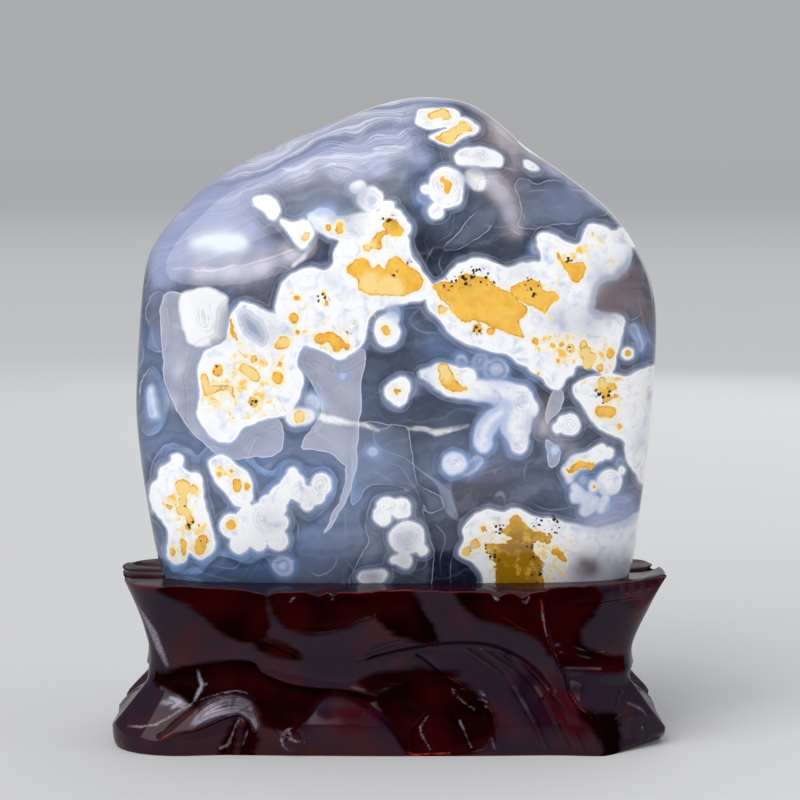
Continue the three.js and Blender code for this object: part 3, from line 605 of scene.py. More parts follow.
# Colour clouds, each under the name of its field, as (x, y, radius, strength).
CLOUDS = {
    "bands": [
        (235, 180, 22, 0.6), (265, 160, 24, 0.9), (300, 142, 26, 1.0), (335, 128, 28, 1.0),
        (372, 112, 28, 1.0), (400, 104, 24, 0.8), (345, 160, 20, 1.0), (380, 148, 22, 0.8),
        (300, 172, 16, 0.8), (410, 130, 20, 0.4), (180, 214, 14, 0.3),
    ],
    "azure": [
        (196, 568, 18, 1.0), (168, 562, 14, 0.9), (228, 566, 16, 0.9), (258, 566, 14, 0.9),
        (282, 566, 12, 1.0), (300, 545, 12, 0.7), (316, 524, 10, 0.6), (148, 500, 8, 0.6),
        (210, 455, 12, 0.5), (268, 470, 12, 0.6), (320, 468, 10, 0.5), (385, 318, 12, 0.6),
        (474, 366, 12, 0.7), (497, 372, 12, 0.7), (535, 250, 7, 0.6), (426, 202, 9, 0.8),
        (440, 345, 14, 0.5), (590, 505, 14, 0.6), (572, 486, 9, 0.6), (645, 345, 9, 0.8),
        (312, 402, 9, 0.7), (470, 470, 10, 0.6), (440, 480, 10, 0.4), (515, 455, 10, 0.5),
        (370, 575, 16, 0.4),
    ],
    # painted highlights: the soft reflection of a light in the hollow high on the left, and smaller
    # bright glows
    "painted_highlight": [
        (197, 243, 8, 0.7), (208, 241, 8, 0.6), (220, 242, 9, 0.8), (231, 243, 10, 1.0),
        (241, 245, 8, 0.8), (218, 241, 22, 0.3), (151, 391, 5, 0.8), (153, 403, 6, 0.7),
        (156, 414, 5, 0.6), (553, 450, 4, 0.6), (302, 344, 6, 0.5), (300, 236, 8, 0.4),
        (318, 405, 7, 0.6), (310, 398, 6, 0.5), (178, 372, 6, 0.4), (172, 400, 8, 0.3),
    ],
    "lavender": [
        (200, 195, 36, 1.0), (240, 172, 34, 1.0), (280, 152, 34, 1.0), (320, 134, 34, 1.0),
        (360, 116, 34, 1.0), (395, 112, 34, 0.9), (350, 162, 26, 0.9), (390, 140, 26, 0.7),
        (165, 235, 34, 0.8), (225, 215, 30, 0.7), (160, 275, 24, 0.6), (250, 250, 30, 0.7),
        (210, 250, 34, 0.8), (300, 170, 16, 0.3), (430, 100, 24, 0.6), (600, 530, 30, 0.8),
        (625, 520, 26, 0.8), (640, 470, 16, 0.5), (480, 108, 20, 0.4), (420, 160, 12, 0.6),
        (380, 168, 10, 0.5), (548, 170, 13, 0.7), (620, 505, 14, 0.4), (570, 184, 12, 0.6),
        (594, 200, 12, 0.6), (614, 217, 11, 0.6), (632, 238, 9, 0.5),
    ],
    "navy": [
        (445, 575, 40, 1.0), (420, 590, 30, 0.8), (475, 585, 22, 0.9), (430, 262, 26, 0.8),
        (420, 240, 20, 0.6), (520, 247, 22, 0.6), (495, 248, 24, 0.4), (465, 250, 20, 0.6),
        (470, 425, 20, 0.6), (500, 368, 20, 0.5), (418, 405, 30, 0.5), (240, 585, 40, 0.5),
        (600, 412, 13, 0.6), (550, 400, 18, 0.6), (612, 446, 15, 1.0), (585, 485, 8, 0.8),
        (400, 360, 22, 0.5), (462, 503, 22, 0.7), (305, 245, 9, 0.9), (545, 380, 12, 0.6),
        (630, 360, 9, 0.6),
    ],
    "brown": [
        (630, 290, 26, 1.0), (605, 300, 18, 0.8), (645, 315, 16, 0.8), (520, 150, 24, 0.8),
        (492, 140, 18, 0.8), (490, 118, 22, 0.5), (505, 180, 22, 0.5), (583, 566, 15, 1.0),
        (640, 466, 12, 0.9), (388, 530, 20, 0.2), (310, 240, 12, 0.7), (262, 300, 16, 0.6),
        (240, 285, 18, 0.4), (159, 322, 9, 0.6), (545, 400, 15, 0.4), (402, 200, 14, 0.3),
        (480, 480, 34, 0.5), (300, 175, 20, 0.3), (330, 190, 14, 0.4), (630, 262, 16, 0.5),
        (475, 138, 18, 0.4), (545, 170, 16, 0.4),
    ],
    "sky": [
        (240, 560, 44, 0.9), (160, 440, 30, 0.7), (160, 390, 26, 0.6), (270, 462, 40, 0.9),
        (180, 566, 36, 1.0), (350, 500, 34, 0.5), (335, 470, 26, 0.6), (330, 540, 30, 0.3),
        (450, 362, 34, 0.5), (385, 395, 30, 0.3), (310, 215, 20, 0.7), (330, 200, 20, 0.6),
        (430, 190, 26, 0.5), (590, 490, 26, 0.7), (490, 440, 34, 0.7), (645, 345, 20, 0.7),
        (320, 320, 34, 0.4), (510, 385, 34, 0.6), (150, 340, 26, 0.5), (395, 320, 18, 0.6),
        (450, 465, 24, 0.8), (570, 200, 26, 0.3), (230, 300, 20, 0.4), (310, 400, 24, 0.5),
        (205, 455, 26, 0.5), (310, 540, 20, 0.5), (383, 458, 17, 0.7),
    ],
    "pink": [
        (498, 128, 13, 0.8), (520, 165, 12, 0.3), (478, 176, 12, 0.7), (492, 180, 13, 0.6),
        (504, 195, 13, 0.5), (512, 214, 12, 0.5), (515, 232, 9, 0.5), (520, 150, 18, 0.7),
        (535, 155, 12, 0.6), (500, 140, 14, 0.5), (455, 155, 12, 0.4), (545, 425, 10, 0.9),
        (556, 440, 10, 0.8), (535, 408, 9, 0.6), (570, 452, 8, 0.6), (597, 288, 13, 0.7),
        # the last five spots tint the crescent under the hollow's lip pale pink: painted light on its
        # upward face
        (600, 528, 16, 0.5), (645, 480, 10, 0.7), (205, 270, 14, 0.7), (235, 268, 14, 0.8),
        (262, 262, 14, 0.8), (290, 252, 12, 0.8), (306, 243, 9, 0.7),
    ],
    "haze": [
        (322, 213, 14, 1.0), (345, 205, 12, 0.8), (360, 195, 12, 0.7), (335, 195, 14, 0.8),
        (262, 330, 14, 0.7), (235, 345, 10, 0.4), (490, 425, 26, 0.8), (520, 425, 16, 0.5),
        (500, 395, 20, 0.5), (432, 376, 10, 0.5), (454, 464, 16, 0.5), (590, 500, 22, 0.6),
        (575, 470, 14, 0.5), (600, 560, 34, 0.9), (570, 575, 22, 0.8), (630, 520, 26, 0.7),
        (636, 300, 16, 0.5), (610, 268, 16, 0.9), (393, 312, 9, 0.8), (466, 178, 10, 0.5),
        (598, 290, 16, 1.0), (598, 310, 14, 1.0), (616, 276, 14, 0.9), (628, 262, 14, 0.7),
        (302, 417, 12, 0.4), (215, 430, 8, 0.2),
    ],
    # darkest yellow of the stains, made darker at the stone's foot as painted shade near the base
    "ochre": [(520, 550, 36, 1.0), (515, 580, 24, 1.0), (468, 280, 12, 0.4), (392, 221, 8, 0.6)],
    "mist": [
        (335, 480, 34, 0.9), (330, 535, 34, 0.9), (362, 530, 28, 0.8), (345, 450, 26, 0.7),
        (365, 490, 30, 0.8), (300, 575, 22, 0.4), (392, 480, 26, 0.3), (150, 300, 14, 0.5),
        (150, 350, 26, 0.6), (155, 440, 30, 0.7), (185, 460, 24, 0.5), (560, 205, 34, 0.5),
        (480, 225, 26, 0.2), (600, 205, 26, 0.6), (400, 180, 26, 0.4), (540, 480, 26, 0.3),
        (420, 160, 20, 0.4),
    ],
    "mottle": [
        (240, 378, 26, 1.0), (215, 395, 16, 0.9), (262, 398, 18, 1.0), (278, 372, 14, 0.7),
        (240, 350, 12, 0.4), (320, 338, 20, 0.9), (300, 300, 16, 0.4), (345, 340, 12, 0.6),
        (560, 350, 18, 0.9), (590, 356, 20, 1.0), (612, 352, 16, 0.8), (540, 342, 12, 0.5),
        (607, 395, 20, 1.0), (615, 415, 12, 0.6), (180, 495, 20, 1.0), (190, 525, 16, 1.0),
        (200, 545, 14, 1.0), (176, 550, 10, 0.8), (237, 480, 14, 0.7), (222, 470, 10, 0.5),
        (530, 555, 30, 1.0), (555, 560, 18, 0.9), (500, 540, 20, 0.6), (475, 548, 12, 0.9),
        (575, 250, 18, 0.7), (560, 265, 14, 0.6), (575, 470, 10, 0.8), (590, 462, 10, 0.7),
        (595, 487, 4, 0.8), (235, 525, 9, 0.7), (600, 250, 16, 0.4), (545, 290, 16, 0.5),
        (455, 380, 14, 0.6), (360, 255, 20, 0.3), (385, 245, 20, 0.5), (330, 228, 14, 0.5),
        (648, 380, 10, 0.5), (640, 395, 14, 0.5), (233, 320, 9, 0.6), (620, 370, 10, 0.5),
    ],
    "shade": [
        (407, 538, 14, 0.45), (403, 562, 9, 0.4), (605, 562, 30, 0.4), (580, 582, 24, 0.6),
        (625, 585, 24, 0.6), (600, 275, 12, 0.6), (373, 577, 12, 1.0), (560, 320, 18, 0.5),
        (590, 325, 16, 0.6), (275, 335, 12, 0.4), (530, 420, 8, 0.3), (345, 215, 16, 0.7),
        (371, 200, 8, 0.6), (404, 545, 12, 0.4), (270, 520, 18, 0.3), (310, 500, 12, 0.3),
        (640, 440, 12, 0.4), (520, 270, 12, 0.3), (205, 318, 8, 0.3), (480, 157, 8, 0.3),
        (330, 280, 10, 0.3), (650, 400, 10, 0.3),
    ],
    "smudge": [
        (583, 566, 11, 0.9), (592, 572, 9, 0.7), (630, 290, 20, 0.8), (612, 300, 14, 0.7),
        (645, 312, 11, 0.7), (602, 305, 10, 0.4),
    ],
}


class Markings:
    """Works out, for each point of a skin, how far it lies from each marking."""

    REACH = 40.0  # millimetres beyond which a distance no longer counts

    def __init__(self, skin, points, unrest):
        """Unrest gives the lumps in which the edges wander: their size, and how far at the front and
        at the back, in millimetres."""
        self.tree = BVHTree.FromBMesh(skin)
        self.points = points
        behind = smoothstep(0, 12, points[:, 1])[:, None]
        # unseeded, this noise would differ from one run to the next
        noise.seed_set(WANDER_SEED)
        for size, reach, at_back in unrest:
            wander = np.array([noise.noise_vector(Vector(p) / size) for p in points])
            self.points = self.points + wander * (reach + (at_back - reach) * behind)
        self.pixels = to_pixels(self.points)
        # the outlines are drawn on the front, and end behind the stone's middle
        self.behind = np.maximum(self.points[:, 1] - 2, 0)

    def spot(self, x, y):
        """The place on the skin that the pixel shows."""
        origin, direction = pixel_ray(x, y)
        hit = self.tree.ray_cast(Vector(origin), Vector(direction))[0]
        if hit is None:
            reach = (VIEW_TARGET - origin) @ direction
            hit = self.tree.find_nearest(Vector(origin + reach * direction))[0]
        return np.array(hit)

    def back_spot(self, x, z):
        """The place on the back of the stone at x and z in millimetres."""
        hit = self.tree.ray_cast(Vector((x, 200, z)), Vector((0, -1, 0)))[0]
        return np.array(hit or self.tree.find_nearest(Vector((x, 0, z)))[0])

    def chain(self, row, back=False):
        """Distance to a ball, or to a row of balls and the cones between them."""
        row = row if isinstance(row, list) else [row]
        find, unit = (self.back_spot, 1.0) if back else (self.spot, PIXEL)
        ends = [find(x, y) for x, y, _ in row]
        radii = [r * unit for _, _, r in row]
        if len(row) == 1:
            return np.linalg.norm(self.points - ends[0], axis=1) - radii[0]
        best = np.full(len(self.points), self.REACH)
        for a, b, ra, rb in zip(ends, ends[1:], radii, radii[1:]):
            run = b - a
            off = self.points - a
            t = np.clip(off @ run / (run @ run), 0, 1)
            gap = np.linalg.norm(off - t[:, None] * run, axis=1)
            best = np.minimum(best, gap - ra - t * (rb - ra))
        return best

    def chains(self, rows, back_rows=()):
        """Distance to the nearest of several chains."""
        distances = [self.chain(row) for row in rows]
        distances += [self.chain(row, back=True) for row in back_rows]
        return np.min(distances, axis=0)

    def outlines(self, named):
        """Signed distance to the nearest of several outlines, negative inside."""
        best = np.full(len(self.points), self.REACH)
        for outline in named.values():
            flat = distance_to_outline(self.pixels, outline, self.REACH / PIXEL) * PIXEL
            deep = np.hypot(np.maximum(flat, 0), self.behind) + np.minimum(flat, 0)
            best = np.minimum(best, np.where(self.behind > 0, deep, flat))
        return best

    def cloud(self, spots, back_spots=()):
        """Soft spots, added up to 1 at most."""
        total = np.zeros(len(self.points))
        places = [(self.spot(x, y), radius * PIXEL, strength) for x, y, radius, strength in spots]
        places += [(self.back_spot(x, z), radius, strength) for x, z, radius, strength in back_spots]
        for place, radius, strength in places:
            away = np.linalg.norm(self.points - place, axis=1) / radius
            total += strength * np.exp(-(away**2))
        return np.clip(total, 0, 1)


def stone_fields(skin, points):
    """The named fields that the stone's material reads."""
    work = Markings(skin, points, [(24.0, 0.0, 6.0), (9.0, 1.1, 2.2), (3.0, 0.5, 0.8)])
    fields = {
        "white": np.minimum(work.outlines(WHITE_OUTLINES), work.chains(WHITE_CHAINS, BACK_WHITE)),
        "yellow": np.minimum(work.outlines(YELLOW_OUTLINES), work.chains(YELLOW_CHAINS, BACK_YELLOW)),
        "soft": np.minimum(work.outlines(SOFT_OUTLINES), work.chains(SOFT_CHAINS)),
        "blue": work.chains(BLUE_CHAINS, BACK_BLUE),
        "pale": work.chains(PALE_CHAINS, BACK_PALE),
        "specks": work.chains(SPECK_CHAINS, BACK_SPECKS),
        "ring": work.chains(RING_CHAINS, BACK_RINGS),
        "veil_and_reflection": work.outlines(VEILS_AND_REFLECTION),
        "fan_and_lit_crescent": work.outlines(FANS_AND_LIT_CRESCENT),
        "shape": work.outlines(SHAPE_OUTLINES),
        "hole": work.chains(HOLE_CHAINS),
    }
    for name, spots in CLOUDS.items():
        fields[name] = work.cloud(spots, BACK_CLOUDS.get(name, ()))
    return fields


# Shader expressions


class Wire:
    """A socket that arithmetic can be written with."""

    def __init__(self, shader, socket):
        self.shader = shader
        self.socket = socket

    def math(self, operation, *values):
        made = self.shader.node("ShaderNodeMath", {"operation": operation}, dict(enumerate(values)))
        return Wire(self.shader, made.outputs[0])

    def __add__(self, other):
        return self.math("ADD", self, other)

    def __radd__(self, other):
        return self.math("ADD", other, self)

    def __sub__(self, other):
        return self.math("SUBTRACT", self, other)

    def __rsub__(self, other):
        return self.math("SUBTRACT", other, self)

    def __mul__(self, other):
        return self.math("MULTIPLY", self, other)

    def __rmul__(self, other):
        return self.math("MULTIPLY", other, self)

    def __truediv__(self, other):
        return self.math("DIVIDE", self, other)

    def __abs__(self):
        return self.math("ABSOLUTE", self)

    def most(self, other):
        """The greater of the two."""
        return self.math("MAXIMUM", self, other)

    def smooth(self, low, high):
        """0 below low and 1 above high, or the other way round where low is the higher."""
        made = self.shader.node(
            "ShaderNodeMapRange",
            {"interpolation_type": "SMOOTHSTEP"},
            {"Value": self, "From Min": low, "From Max": high},
        )
        return Wire(self.shader, made.outputs["Result"])

    def line(self, level, width):
        """1 on a thin line where the value is at the level."""
        return abs(self - level).smooth(width, 0.3 * width)


class Shader:
    """A material and the nodes in it."""

    def __init__(self, name):
        self.material = bpy.data.materials.new(name)
        self.material.use_nodes = True
        self.tree = self.material.node_tree
        self.tree.nodes.clear()
        self.place = self.node("ShaderNodeTexCoord", {}, {}).outputs["Object"]

    def node(self, kind, settings, inputs):
        """Adds a node with its settings, and the values or links of its sockets."""
        made = self.tree.nodes.new(kind)
        for key, value in settings.items():
            setattr(made, key, value)
        for key, value in inputs.items():
            socket = made.inputs[key]
            if isinstance(value, Wire):
                value = value.socket
            if isinstance(value, bpy.types.NodeSocket):
                self.tree.links.new(value, socket)
            else:
                socket.default_value = value
        return made

    def field(self, name):
        """A value that the piece's mesh holds for each of its vertices."""
        made = self.node("ShaderNodeAttribute", {"attribute_name": name}, {})
        return Wire(self, made.outputs["Fac"])

    def noise(self, size, detail=2.0, warp=0.0, seed=0.0):
        """Noise between 0 and 1, with lumps of about the given size in millimetres."""
        made = self.node(
            "ShaderNodeTexNoise",
            {"noise_dimensions": "4D"},
            {"Vector": self.place, "W": seed, "Scale": 1 / (size * MM), "Detail": detail,
             "Distortion": warp},
        )
        return Wire(self, made.outputs["Fac"])

    def streaks(self, size, length, lean, seed=0.0):
        """Noise drawn out into streaks in the plane of the front, turned by the lean in degrees."""
        mapped = self.node(
            "ShaderNodeMapping",
            {},
            {"Vector": self.place, "Rotation": (0, math.radians(lean), 0),
             "Scale": (1 / (length * MM), 1 / (size * MM), 1 / (size * MM))},
        )
        made = self.node(
            "ShaderNodeTexNoise",
            {"noise_dimensions": "4D"},
            {"Vector": mapped.outputs[0], "W": seed, "Scale": 1.0, "Detail": 3.0},
        )
        return Wire(self, made.outputs["Fac"])

    def bands(self, level, size, detail):
        """Irregular bands, the same all along a level in millimetres, between 0 and 1."""
        made = self.node(
            "ShaderNodeTexNoise",
            {"noise_dimensions": "1D"},
            {"W": level, "Scale": 1 / size, "Detail": detail},
        )
        return Wire(self, made.outputs["Fac"])

    def height(self):
        """Height in millimetres, rising a little to the left and towards the back."""
        made = self.node(
            "ShaderNodeVectorMath", {"operation": "DOT_PRODUCT"}, {0: self.place, 1: (-0.22, 0.25, 1.0)}
        )
        return Wire(self, made.outputs["Value"]) / MM

    def cells(self, size, shift):
        """Distance to the nearest of scattered points, in cells."""
        shifted = self.node(
            "ShaderNodeVectorMath", {"operation": "ADD"}, {0: self.place, 1: (shift, shift, shift)}
        )
        made = self.node(
            "ShaderNodeTexVoronoi", {}, {"Vector": shifted.outputs[0], "Scale": 1 / (size * MM)}
        )
        return Wire(self, made.outputs["Distance"])

    def mix(self, share, below, above):
        """The colour below, covered by the colour above by the share."""
        below, above = (
            colour if isinstance(colour, bpy.types.NodeSocket) else (*colour, 1.0)
            for colour in (below, above)
        )
        made = self.node(
            "ShaderNodeMix",
            {"data_type": "RGBA", "clamp_factor": True},
            {"Factor": share, 6: below, 7: above},
        )
        return made.outputs[2]

    def coats(self, colour, *coats):
        """The colour, covered in turn by each of the coats, as (share, colour)."""
        for share, over in coats:
            colour = self.mix(share, colour, over)
        return colour

    def finish(self, **sockets):
        """The material, with these values or links on its surface."""
        surface = self.node("ShaderNodeBsdfPrincipled", {}, sockets)
        self.node("ShaderNodeOutputMaterial", {}, {"Surface": surface.outputs[0]})
        return self.material

    def bump(self, height, depth):
        """A normal for relief as deep as given, in millimetres."""
        made = self.node("ShaderNodeBump", {}, {"Height": height, "Distance": depth * MM})
        return made.outputs[0]


def agate_material(look):
    """Agate: a clouded slate ground, banded milk and halos round white, yellow-cored patches."""
    s = Shader("polished_agate")
    white, sky, haze = s.field("white"), s.field("sky"), s.field("haze")
    lavender, mottle, pink, ochre = map(s.field, ("lavender", "mottle", "pink", "ochre"))
    fine = s.noise(1.3, 3) - 0.5
    broad = s.noise(7, 2, seed=3) - 0.5
    vast = s.noise(34, 2, seed=7) - 0.5

    # smoky ground
    smoke = s.noise(22, 4, warp=1.2, seed=1)
    wisps = s.bands(s.height() + 30 * vast + 9 * broad, 6, 3)
    ground = s.coats(
        look.slate,
        (smoke.smooth(0.32, 0.68), look.grey),
        (s.field("mist") * (0.9 + broad), look.fog),
        (sky * 0.9, look.sky),
        (s.field("azure") * (0.6 + broad), look.azure),
        (s.field("navy") * 0.95, look.navy),
        (s.field("brown") * (0.85 + broad), look.brown),
        (wisps.smooth(0.52, 0.72) * 0.16, look.mist),
        (wisps.smooth(0.45, 0.25) * 0.20, look.navy),
    )

    # the milky banded zone
    layers = s.height() + 5 * broad + 30 * vast
    banded = s.field("bands")
    calm = s.noise(26, 2, seed=23).smooth(0.36, 0.6) * (0.25 + 0.75 * banded)
    stripe = s.bands(layers, 7, 3).smooth(0.34, 0.66)
    thin = s.bands(layers, 1.9, 2)
    fold = s.bands(s.height() + 34 * vast + 1.2 * broad, 4.0, 1)
    folds = fold.line(0.57, 0.03) + fold.line(0.5, 0.02) + fold.line(0.43, 0.03)
    milk = s.coats(
        look.lavender,
        (stripe * (0.12 + 0.68 * banded) + 0.2 * banded, look.milk),
        (thin.smooth(0.52, 0.66) * calm * 0.75, look.mist),
        (thin.smooth(0.47, 0.36) * calm * 0.6, look.milk),
        (folds * (0.08 + 0.34 * banded), look.slate),
    )
    ground = s.mix((lavender + 0.4 * broad).smooth(0.05, 0.85) * 0.92, ground, milk)

    # long thin lines that wander over the ground
    wander = s.noise(42, 1.5, warp=0.4, seed=35)
    trails = wander.line(0.43, 0.006) + wander.line(0.57, 0.006) + 0.7 * wander.line(0.5, 0.005)
    trails = trails * s.noise(14, 2, seed=37).smooth(0.42, 0.62)
    ground = s.mix(trails * (0.42 - 0.3 * lavender), ground, look.line)

    # closed shapes with a thin pale outline
    trace = s.field("shape") + 0.4 * fine + 0.6 * broad
    glowing = abs(trace + 0.9).smooth(1.9, 0.3) * (sky - 0.35).smooth(0, 0.5)
    ground = s.coats(
        ground,
        (trace.smooth(0.2, -2.5) * 0.18, look.mist),
        (trace.smooth(3.0, 0.1) * trace.smooth(-0.1, 0.1) * 0.3, look.navy),
        (glowing * 0.6, look.halo),
        (trace.line(0, 0.30) * s.noise(12, 1, seed=27).smooth(0.3, 0.6) * 0.7, look.line),
    )

    # veils, in part a painted reflection; pink haze with its fans, of which the crescent is painted
    # light; blue orbs and soft white
    within = s.field("veil_and_reflection") + 0.3 * fine
    veil_reflection_share = within.smooth(0.25, -0.25)
    cloudy = 0.5 + 0.6 * (s.noise(12, 3, seed=15) - 0.5)
    fan_and_lit_crescent = s.field("fan_and_lit_crescent") + 0.3 * fine
    orb = s.field("blue") + 0.4 * fine
    ground = s.coats(
        ground,
        # in part a painted reflection: the left and middle veils stand for soft light mirrored in a
        # polished facet
        (veil_reflection_share * cloudy, look.veil_and_reflection),
        (within.line(-0.1, 0.35) * 0.7, look.milk),
        (pink * (0.85 + broad), look.pink),
        # the crescent's fan is painted light on its upward face
        (fan_and_lit_crescent.smooth(0.4, -3.0) * pink.smooth(0.1, 0.8) * 0.35, look.veil_and_reflection),
        (fan_and_lit_crescent.line(-0.1, 0.4) * pink.smooth(0.2, 0.8) * 0.55, look.milk),
        (orb.smooth(3.6, -1.5) * 0.8, look.halo),
        (orb.line(-0.4, 1.2) * 0.5, look.milk),
        (orb.smooth(-1.2, -3.0) * 0.75, look.milk),
        ((s.field("soft") + 0.25 * fine).smooth(1.2, -0.6) * 0.92, look.white),
    )

    # the halo of a patch, from the outside in
    edge = white + 0.5 * fine + 0.55 * broad
    spread = s.noise(10, 2, seed=29).smooth(0.25, 0.75)
    ring = s.bands(edge + 0.8 * broad, 1.5, 2)
    far = edge.smooth(7.0 + 4.0 * spread, 2.0) * (1.0 - 0.7 * haze)
    dark = (0.5 - 0.35 * lavender) * (1.0 - 0.85 * veil_reflection_share) * (1.0 - 0.9 * haze)
    glow = s.mix(sky, look.mist, look.halo)
    ground = s.coats(
        ground,
        (edge.smooth(3.5 + 5.0 * spread, 1.0) * dark, look.navy),
        (ring.smooth(0.53, 0.70) * far * 0.34, look.line),
        (ring.smooth(0.47, 0.34) * far * 0.30, look.navy),
        (edge.smooth(1.8 + 3.0 * spread, 0.1) * (0.62 + 0.25 * sky), glow),
        (edge.smooth(1.3, 0.0) * 0.55, look.milk),
    )

    # inside a patch
    cloud = s.noise(5, 4, warp=0.8, seed=5)
    inner = s.coats(
        look.white,
        (cloud.smooth(0.46, 0.66) * 0.8, look.pearl),
        (cloud.smooth(0.60, 0.78) * 0.65, look.halo),
        (s.bands(white, 0.9, 2).smooth(0.55, 0.7) * 0.4, look.pearl),
        (edge.smooth(-0.9, -0.4), look.white),
        (s.field("shade") * 0.85, look.dusk),
        (haze * edge.smooth(-3.6, -0.6) * 0.75, glow),
    )
    hollow = s.field("hole") + 0.5 * fine
    rings = s.field("ring") + 0.5 * fine
    rings = rings.line(0, 0.4) + rings.line(-1.2, 0.4) + 0.6 * rings.line(1.3, 0.4)
    ground = s.coats(
        ground,
        (edge.smooth(0.35 + 1.6 * haze, -0.05 - 2.2 * haze) * (1.0 - 0.2 * haze), inner),
        (hollow.smooth(1.4, -2.4) * 0.75, look.mist),
        (hollow.smooth(-1.4, -3.6) * 0.45, look.sky),
        (hollow.line(-2.2, 0.6) * 0.35, look.milk),
        (hollow.line(0.2, 0.4) * 0.35, look.halo),
        (rings * s.noise(3, 1, seed=33).smooth(0.3, 0.65) * 0.45, look.dusk),
        (s.field("smudge") * (0.9 + broad), look.brown),
    )

    # yellow stains, thin and outlined with amber
    patch = white.smooth(-0.2, -1.2)
    flow = s.noise(4.4, 2.5, warp=0.9, seed=25) + 0.05 * fine
    stain = flow - (0.67 - 0.17 * mottle)
    ground = s.coats(
        ground,
        (stain.smooth(-0.12, 0.02) * patch * mottle * 0.9, look.cream),
        (stain.smooth(0.02, 0.06) * patch * 0.85, look.straw),
        (stain.line(0.035, 0.012) * patch * mottle * 0.6, look.amber),
        (stain.smooth(0.09, 0.12) * patch, look.yellow),
    )

    # yellow cores with ragged edges
    rag = (1.6 * fine + 1.3 * (s.noise(3.0, 3, seed=9) - 0.5)) * (1.0 + 1.3 * ochre)
    core = s.field("yellow") + rag
    golden = s.coats(
        look.yellow,
        (s.noise(5, 3, seed=13).smooth(0.35, 0.7), look.amber),
        ((s.field("pale") + 3 * fine).smooth(1.5, -1.5) * 0.8, look.straw),
        (ochre * (1.0 - s.noise(4, 3, seed=17).smooth(0.5, 0.7) * 0.7), look.ochre),
        (core.line(-0.3, 0.4) * s.noise(4, 1, seed=31).smooth(0.35, 0.6) * 0.6, look.rust),
    )
    ground = s.coats(
        ground,
        (core.smooth(1.7, 0.1) * white.smooth(0.2, -0.6) * 0.8, look.cream),
        (core.smooth(0.16, -0.16), golden),
    )

    # dark specks, and soft painted highlights over all
    zone = (s.field("specks") + 2.4 * fine).smooth(0.8, -0.6)
    size = s.noise(5, 1, seed=19) * 0.55 + 0.06
    speck = s.cells(1.9, 0.4) + 0.9 * (s.noise(0.9, 3, seed=21) - 0.5)
    ground = s.coats(
        ground,
        (speck.smooth(size + 0.03, size - 0.04) * zone, look.speck),
        # painted highlights: pale glows laid over the colour where light would reflect
        ((s.field("painted_highlight") + 0.15 * broad) * 0.85, look.painted_highlight),
    )
    return s.finish(**{
        "Base Color": ground,
        "Roughness": 0.07,
        "IOR": 1.5,
        "Normal": s.bump(s.noise(5, 2, seed=2), 0.012),
    })


def keep_field(mesh_data, name, values):
    """Keeps a value for each vertex, under the name that the material reads."""
    field = mesh_data.attributes.new(name, "FLOAT", "POINT")
    field.data.foreach_set("value", values.astype(np.float32))


def make_piece(name, mesh_data, material, node):
    """Links a finished mesh as a piece that stands for a node of the frame."""
    mesh_data.transform(Matrix.Diagonal((MM, MM, MM, 1)) @ Matrix.Translation(TO_MIDDLE))
    mesh_data.update()
    piece = bpy.data.objects.new(name, mesh_data)
    bpy.context.scene.collection.objects.link(piece)
    piece.data.materials.append(material)
    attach(piece, "root")
    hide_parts(node)


def colour_property(name, description, default):
    """A colour that a user can change."""
    return bpy.props.FloatVectorProperty(
        name=name, description=description, subtype="COLOR", default=default
    )


